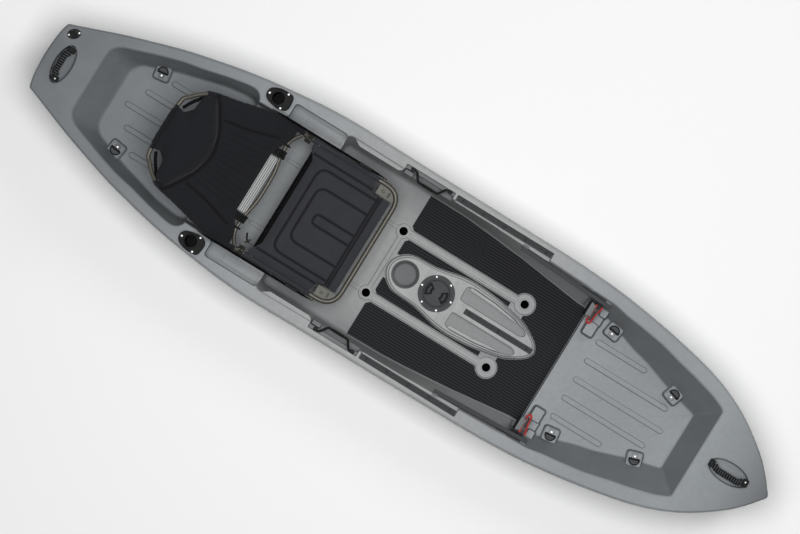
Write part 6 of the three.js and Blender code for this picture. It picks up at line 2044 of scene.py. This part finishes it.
def ribbed_paint(name, axis, start):
    """Worn rubber, paler on the ribs and painted near black between them as painted shade in the grooves."""
    paint = Paint(name, Specular_IOR_Level=0.12)
    along = paint.parts(paint.place())[axis] - start
    rib = ((along / END_HANDLE["pitch"] + 0.25) * TURN).wave().step(-0.5, 0.3)
    dust = paint.noise(4, 4)
    color = paint.mix(dust, linear("38393b"), linear("4a4b4d"))
    # The grooves between the ribs are painted near black, as painted shade
    color = paint.mix(rib, linear("040405"), color)
    return paint.done(color, 0.6 + 0.2 * dust, paint.bump(paint.noise(0.5, 2), 0.06, 0.5))


def foam_paint():
    """Closed-cell foam: pale beads."""
    paint = Paint("white_foam")
    cells = paint.node("ShaderNodeTexVoronoi", {"feature": "F1"},
                       {"Vector": paint.place(), "Scale": 1 / (5 * MM)}, "Distance")
    color = paint.mix(cells, linear("efefec"), linear("d4d4d0"))
    return paint.done(color, 0.85 + 0.1 * cells, paint.bump(cells, 0.6))


FINISHES = dict(
    hull_plastic=hull_paint(), black_plastic=moulded_paint("black_plastic", "0b0c0d", "131415"),
    bow_rubber=ribbed_paint("bow_rubber", 0, BOW_HANDLE["x"]),
    stern_rubber=ribbed_paint("stern_rubber", 1, 0),
    lid_plastic=moulded_paint("lid_plastic", "3b3c3e", "484a4c"),
    grey_plastic=moulded_paint("grey_plastic", "717475", "818485", 0.45), mat_foam=mat_paint(),
    black_fabric=fabric_paint("black_fabric", "1c1d21", "27282d", 1.6), white_foam=foam_paint(),
    pan_fabric=fabric_paint("pan_fabric", "36373c", "46474c", 1.8),
    drab_fabric=fabric_paint("drab_fabric", "23241e", "383931", 1.8),
    pale_mesh=fabric_paint("pale_mesh", "c9cbcb", "dddede", 3.2, 0.1, 9),
    dull_steel=metal_paint("dull_steel", "4c4d48", "6b6c65", 0.5, 0.5),
    dark_screw=metal_paint("dark_screw", "2a2b2c", "3c3d3e", 0.6, 0.4),
    webbing=fabric_paint("webbing", "08080a", "101013", 2.2, 0), frame_tube=tube_paint(),
    track_metal=metal_paint("track_metal", "202224", "2b2d2f", 0.2, 0.5),
    steel=metal_paint("steel", "d6d8d8", "eceeee", 0.35, 0.25), black_rubber=rubber_paint(),
    red_cord=cord_paint())


# Pieces on their bodies
def finished(bm, name, finish, body, *replaced, sharp=38, slot=None, bend=None):
    """Makes the piece in metres, with its finish, on its body and in place of the model's nodes. A piece given
    a bend, with the other body and where along X the bend would start and end, is not bent and not put on a
    body; only its place is baked into its mesh."""
    bmesh.ops.scale(bm, vec=v3(MM, MM, MM), verts=bm.verts)
    mesh = bpy.data.meshes.new(name)
    bm.to_mesh(mesh)
    bm.free()
    mesh.shade_smooth()
    mesh.set_sharp_from_angle(angle=math.radians(sharp))
    mesh.materials.append(FINISHES[finish])
    piece = bpy.data.objects.new(name, mesh)
    bpy.context.scene.collection.objects.link(piece)
    piece.modifiers.new("even_shading", "WEIGHTED_NORMAL").keep_sharp = True
    piece.data = bpy.data.meshes.new_from_object(piece.evaluated_get(bpy.context.evaluated_depsgraph_get()))
    piece.modifiers.clear()
    bpy.data.meshes.remove(mesh)
    piece.data.name = name
    if bend:
        other, start, end = bend
        v3(start * MM, 0)
        v3(end * MM, 0)
        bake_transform(piece)
    else:
        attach(piece, body)
    slot or finish
    if replaced:
        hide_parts(*replaced)
    return piece


def on_each_side(bm, name, finish, body, *replaced, **more):
    """Makes a port piece and its starboard copy; %s in a name stands for the side."""
    pieces = []
    for side, sign in SIDES:
        copy = bm.copy() if sign > 0 else flipped(bm)
        names = [text.replace("%s", side) for text in (name, finish, body) + replaced]
        pieces.append(finished(copy, *names, **more))
    bm.free()
    return pieces


def make_hull():
    finished(toned(hull_mesh()), "hull_shell", "hull_plastic", "hull_and_seat", "hull", sharp=32)
    finished(main_mat(), "floor_mat", "mat_foam", "hull_and_seat", "traction_mat")
    on_each_side(inner_mat(), "%s_mat_strip", "mat_foam", "hull_and_seat", "%s_inner_mat")


def make_hatch():
    finished(hatch_frame(), "hatch_ring", "lid_plastic", "hull_and_seat", "hatch_frame", slot="black_plastic")
    finished(hatch_screws(), "hatch_screws", "steel", "hull_and_seat")
    finished(hatch_lid(), "hatch_lid_disc", "lid_plastic", "hatch_lid", "hatch_cover", slot="black_plastic")
    finished(o_ring(), "hatch_seal_ring", "black_rubber", "hatch_seal", "hatch_o_ring")


def make_tracks():
    pod, side = POD_TRACK, SIDE_TRACK
    z = POD_TOP - pod["depth"] + GAP
    places = track_screws(pod["stern"], pod["bow"], pod["screw_pitch"])
    finished(track_bar(pod["stern"], pod["bow"], 0, z, places), "pod_track_bar", "track_metal",
             "hull_and_seat", "pod_gear_track")
    finished(screws_at([v3(x, 0, z + TRACK["height"] - SCREW["height"]) for x in places], 4.2),
             "pod_track_screws", "dark_screw", "hull_and_seat", slot="steel")
    z = SHELF_Z + GAP
    places = track_screws(side["stern"], side["bow"], side["screw_pitch"])
    on_each_side(track_bar(side["stern"], side["bow"], side["y"], z, places), "%s_track_bar", "track_metal",
                 "hull_and_seat", "%s_gear_track")
    on_each_side(screws_at([v3(x, side["y"], z + TRACK["height"] - SCREW["height"]) for x in places], 4.2),
                 "%s_track_screws", "dark_screw", "hull_and_seat", slot="steel")


def make_braces():
    on_each_side(foot_rail(), "%s_brace_rail", "track_metal", "hull_and_seat", "%s_foot_rail")
    on_each_side(carriage_mesh(), "%s_brace_carriage", "black_plastic", "%s_brace", "%s_foot_carriage")
    on_each_side(pedal_place(pedal_mesh()), "%s_brace_pedal", "grey_plastic", "%s_brace", "%s_foot_pedal")
    on_each_side(pedal_place(tread_mesh()), "%s_brace_tread", "black_rubber", "%s_brace")
    on_each_side(rail_hook(), "%s_cord_hook", "black_plastic", "hull_and_seat", "%s_rail_hook")
    on_each_side(tube(bungee_route(), BUNGEE["diameter"] / 2, 12), "%s_red_cord", "red_cord", "hull_and_seat",
                 "%s_paddle_bungee", sharp=80)


def make_fittings():
    on_each_side(rod_holder(), "%s_rod_tube", "black_plastic", "hull_and_seat", "%s_rod_holder")
    on_each_side(rod_screws(), "%s_rod_screws", "steel", "hull_and_seat")
    for eye in EYES:
        on_each_side(tie_down(eye), eye["name"] + "_%s_eye", "black_plastic", "hull_and_seat",
                     eye["name"] + "_%s_tie_down")
    finished(eye_screws(), "eye_screws", "steel", "hull_and_seat")
    finished(drain_housing(), "drain_seat", "black_plastic", "hull_and_seat", "drain_housing")
    finished(drain_screws(), "drain_screws", "steel", "hull_and_seat")
    finished(drain_plug(), "drain_stopper_plug", "black_plastic", "drain_stopper", "drain_plug")


def make_handles():
    for name, handle, along in (("bow", BOW_HANDLE, True), ("stern", STERN_HANDLE, False)):
        grip = moved(grip_mesh(handle["half_span"]), 0, 0, END_HANDLE["rise"])
        finished(at_handle(grip, handle, along), name + "_grip", name + "_rubber", name + "_handle",
                 name + "_handle_grip", slot="black_rubber")
        for end, word in ((-1, "first"), (1, "second")):
            block = moved(anchor_mesh(end), end * handle["half_span"], 0)
            finished(at_handle(block, handle, along), name + "_" + word + "_block", "black_plastic",
                     "hull_and_seat", name + "_handle_" + word + "_anchor")
        finished(handle_screws(handle, along), name + "_grip_screws", "steel", "hull_and_seat")
    on_each_side(side_bail(), "%s_bail_bar", "black_plastic", "%s_bail", "%s_side_handle")
    for word, x in zip(("stern", "bow"), bracket_places()):
        on_each_side(side_bracket(x), "%s_bail_" + word + "_bracket", "black_plastic", "hull_and_seat",
                     "%s_handle_" + word + "_bracket")


def make_seat():
    finished(seat_frame(), "seat_loop", "frame_tube", "hull_and_seat", "seat_base_frame")
    finished(leg_mesh(LEG["front_x"]), "front_leg", "frame_tube", "hull_and_seat", "seat_front_leg")
    finished(leg_mesh(LEG["rear_x"]), "rear_leg", "frame_tube", "hull_and_seat", "seat_rear_leg")
    finished(back_frame(), "back_loop", "frame_tube", "seat_back", "seat_back_frame")
    on_each_side(pivot_bolt(), "%s_bolt", "dark_screw", "hull_and_seat", "%s_pivot_bolt", slot="steel")
    pan = finished(pan_mesh(), "pan_cover", "pan_fabric", "hull_and_seat", "seat_pan", slot="black_fabric")
    panel = finished(panel_mesh(), "back_cover", "black_fabric", "seat_back", "seat_back_panel")
    rest = finished(headrest_mesh(), "head_pad", "black_fabric", "seat_back", "headrest")
    length = math.hypot(STRAP["front"] - STRAP["rear"], strap_z(STRAP["front"]) - strap_z(STRAP["rear"]))
    bend = ("seat_back", STRAP_BEND["start"], STRAP_BEND["end"])
    for strap in on_each_side(strap_mesh(), "%s_strap", "webbing", "hull_and_seat", "%s_recline_strap",
                              bend=bend):
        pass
    band = finished(lumbar_band(), "lumbar_band", "pale_mesh", "seat_back", slot="black_fabric")
    finished(rear_hem(), "rear_hem", "webbing", "hull_and_seat")
    finished(laces(), "elastic_loops", "black_rubber", "seat_back")
    finished(corner_webbing(), "corner_webbing", "webbing", "seat_back")
    on_each_side(gusset(), "%s_gusset", "dull_steel", "hull_and_seat", slot="steel")
    on_each_side(gusset_screw(), "%s_gusset_screw", "frame_tube", "hull_and_seat")
    on_each_side(hinge_cover(), "%s_hinge_cover", "drab_fabric", "seat_back", slot="black_fabric")
    finished(toggle_hook(), "frame_hook", "black_plastic", "hull_and_seat")
    on_each_side(buckle_mesh(), "%s_buckle", "black_plastic", "hull_and_seat", "%s_strap_buckle")


# The camera, the lamps and the floor
CAMERA = dict(x=-39.6, y=15.7, z=20335, turn=31.578, lens=208.6, sensor=36)
FLOOR = dict(size=60000, glow=0.06, painted_shadow_length=1200, painted_shadow_width=300)
WORLD_STRENGTH = 0.13
LAMPS = (
    dict(name="sky", place=(0, 0, 9000), aim=(0, 0, 0), size=5000, power=590),
    dict(name="bow_side", place=(3500, 5500, 6000), aim=(300, 0, 200), size=3000, power=120),
)


def make_camera():
    data = bpy.data.cameras.new("camera")
    data.sensor_width, data.lens, data.clip_end = CAMERA["sensor"], CAMERA["lens"], 200
    camera = bpy.data.objects.new("camera", data)
    camera.location = v3(CAMERA["x"], CAMERA["y"], CAMERA["z"]) * MM
    camera.rotation_euler = (0, 0, math.radians(CAMERA["turn"]))
    bpy.context.scene.collection.objects.link(camera)
    bpy.context.scene.camera = camera


def make_lamps():
    for lamp in LAMPS:
        data = bpy.data.lights.new(lamp["name"], "AREA")
        data.size, data.energy = lamp["size"] * MM, lamp["power"]
        made = bpy.data.objects.new(lamp["name"], data)
        made.location = v3(*lamp["place"]) * MM
        made.rotation_euler = (v3(*lamp["place"]) - v3(*lamp["aim"])).to_track_quat("Z", "Y").to_euler()
        bpy.context.scene.collection.objects.link(made)
    world = bpy.data.worlds.new("studio")
    world.use_nodes = True
    world.node_tree.nodes["Background"].inputs["Color"].default_value = (1, 1, 1, 1)
    world.node_tree.nodes["Background"].inputs["Strength"].default_value = WORLD_STRENGTH
    bpy.context.scene.world = world


def make_floor():
    """A white floor with a painted shadow, near black, where the hull hides it; elsewhere it glows a little for
    the eye and in reflections.
    """
    paint = Paint("studio_floor", Roughness=0.9, Specular_IOR_Level=0)
    seen = [paint.node("ShaderNodeLightPath", output="Is " + ray + " Ray")
            for ray in ("Camera", "Glossy", "Transmission")]
    glow = paint.node("ShaderNodeEmission", {}, {"Color": (1, 1, 1, 1), "Strength": FLOOR["glow"]})
    plain = Value(paint, paint.shader.outputs[0])
    both = paint.node("ShaderNodeAddShader", {}, {0: plain, 1: glow})
    x, y, _ = paint.parts(paint.place())
    # Painted shadow: the floor is near black in an oval under the hull, and does not glow there
    reach = (x / FLOOR["painted_shadow_length"]) ** 2 + (y / FLOOR["painted_shadow_width"]) ** 2
    under = reach.step(1, 0.6)
    mixed = paint.node("ShaderNodeMixShader", {},
                       {0: (seen[0] + seen[1] + seen[2]) * (1 - under), 1: plain, 2: both})
    color = paint.mix(under, linear("fbfbfb"), linear("060606"))
    paint.feed(paint.shader.inputs["Base Color"], color)
    paint.feed(paint.tree.nodes["Material Output"].inputs["Surface"], mixed)
    bm = bmesh.new()
    bmesh.ops.create_grid(bm, x_segments=1, y_segments=1, size=FLOOR["size"] / 2 * MM)
    bm.normal_update()
    floor = plain_object(bm, "floor")
    floor.data.materials.append(paint.material)


def dress_model():
    """Gives the model's own nodes that stay in view, or hidden inside, their finish."""
    for name in ("bow_foam_block", "stern_foam_block"):
        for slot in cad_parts[name].material_slots:
            slot.material = FINISHES["white_foam"]


def main():
    make_camera()
    make_lamps()
    make_floor()
    make_hull()
    make_hatch()
    make_tracks()
    make_braces()
    make_fittings()
    make_handles()
    make_seat()
    dress_model()
    bpy.context.scene.view_settings.view_transform = "Standard"


main()
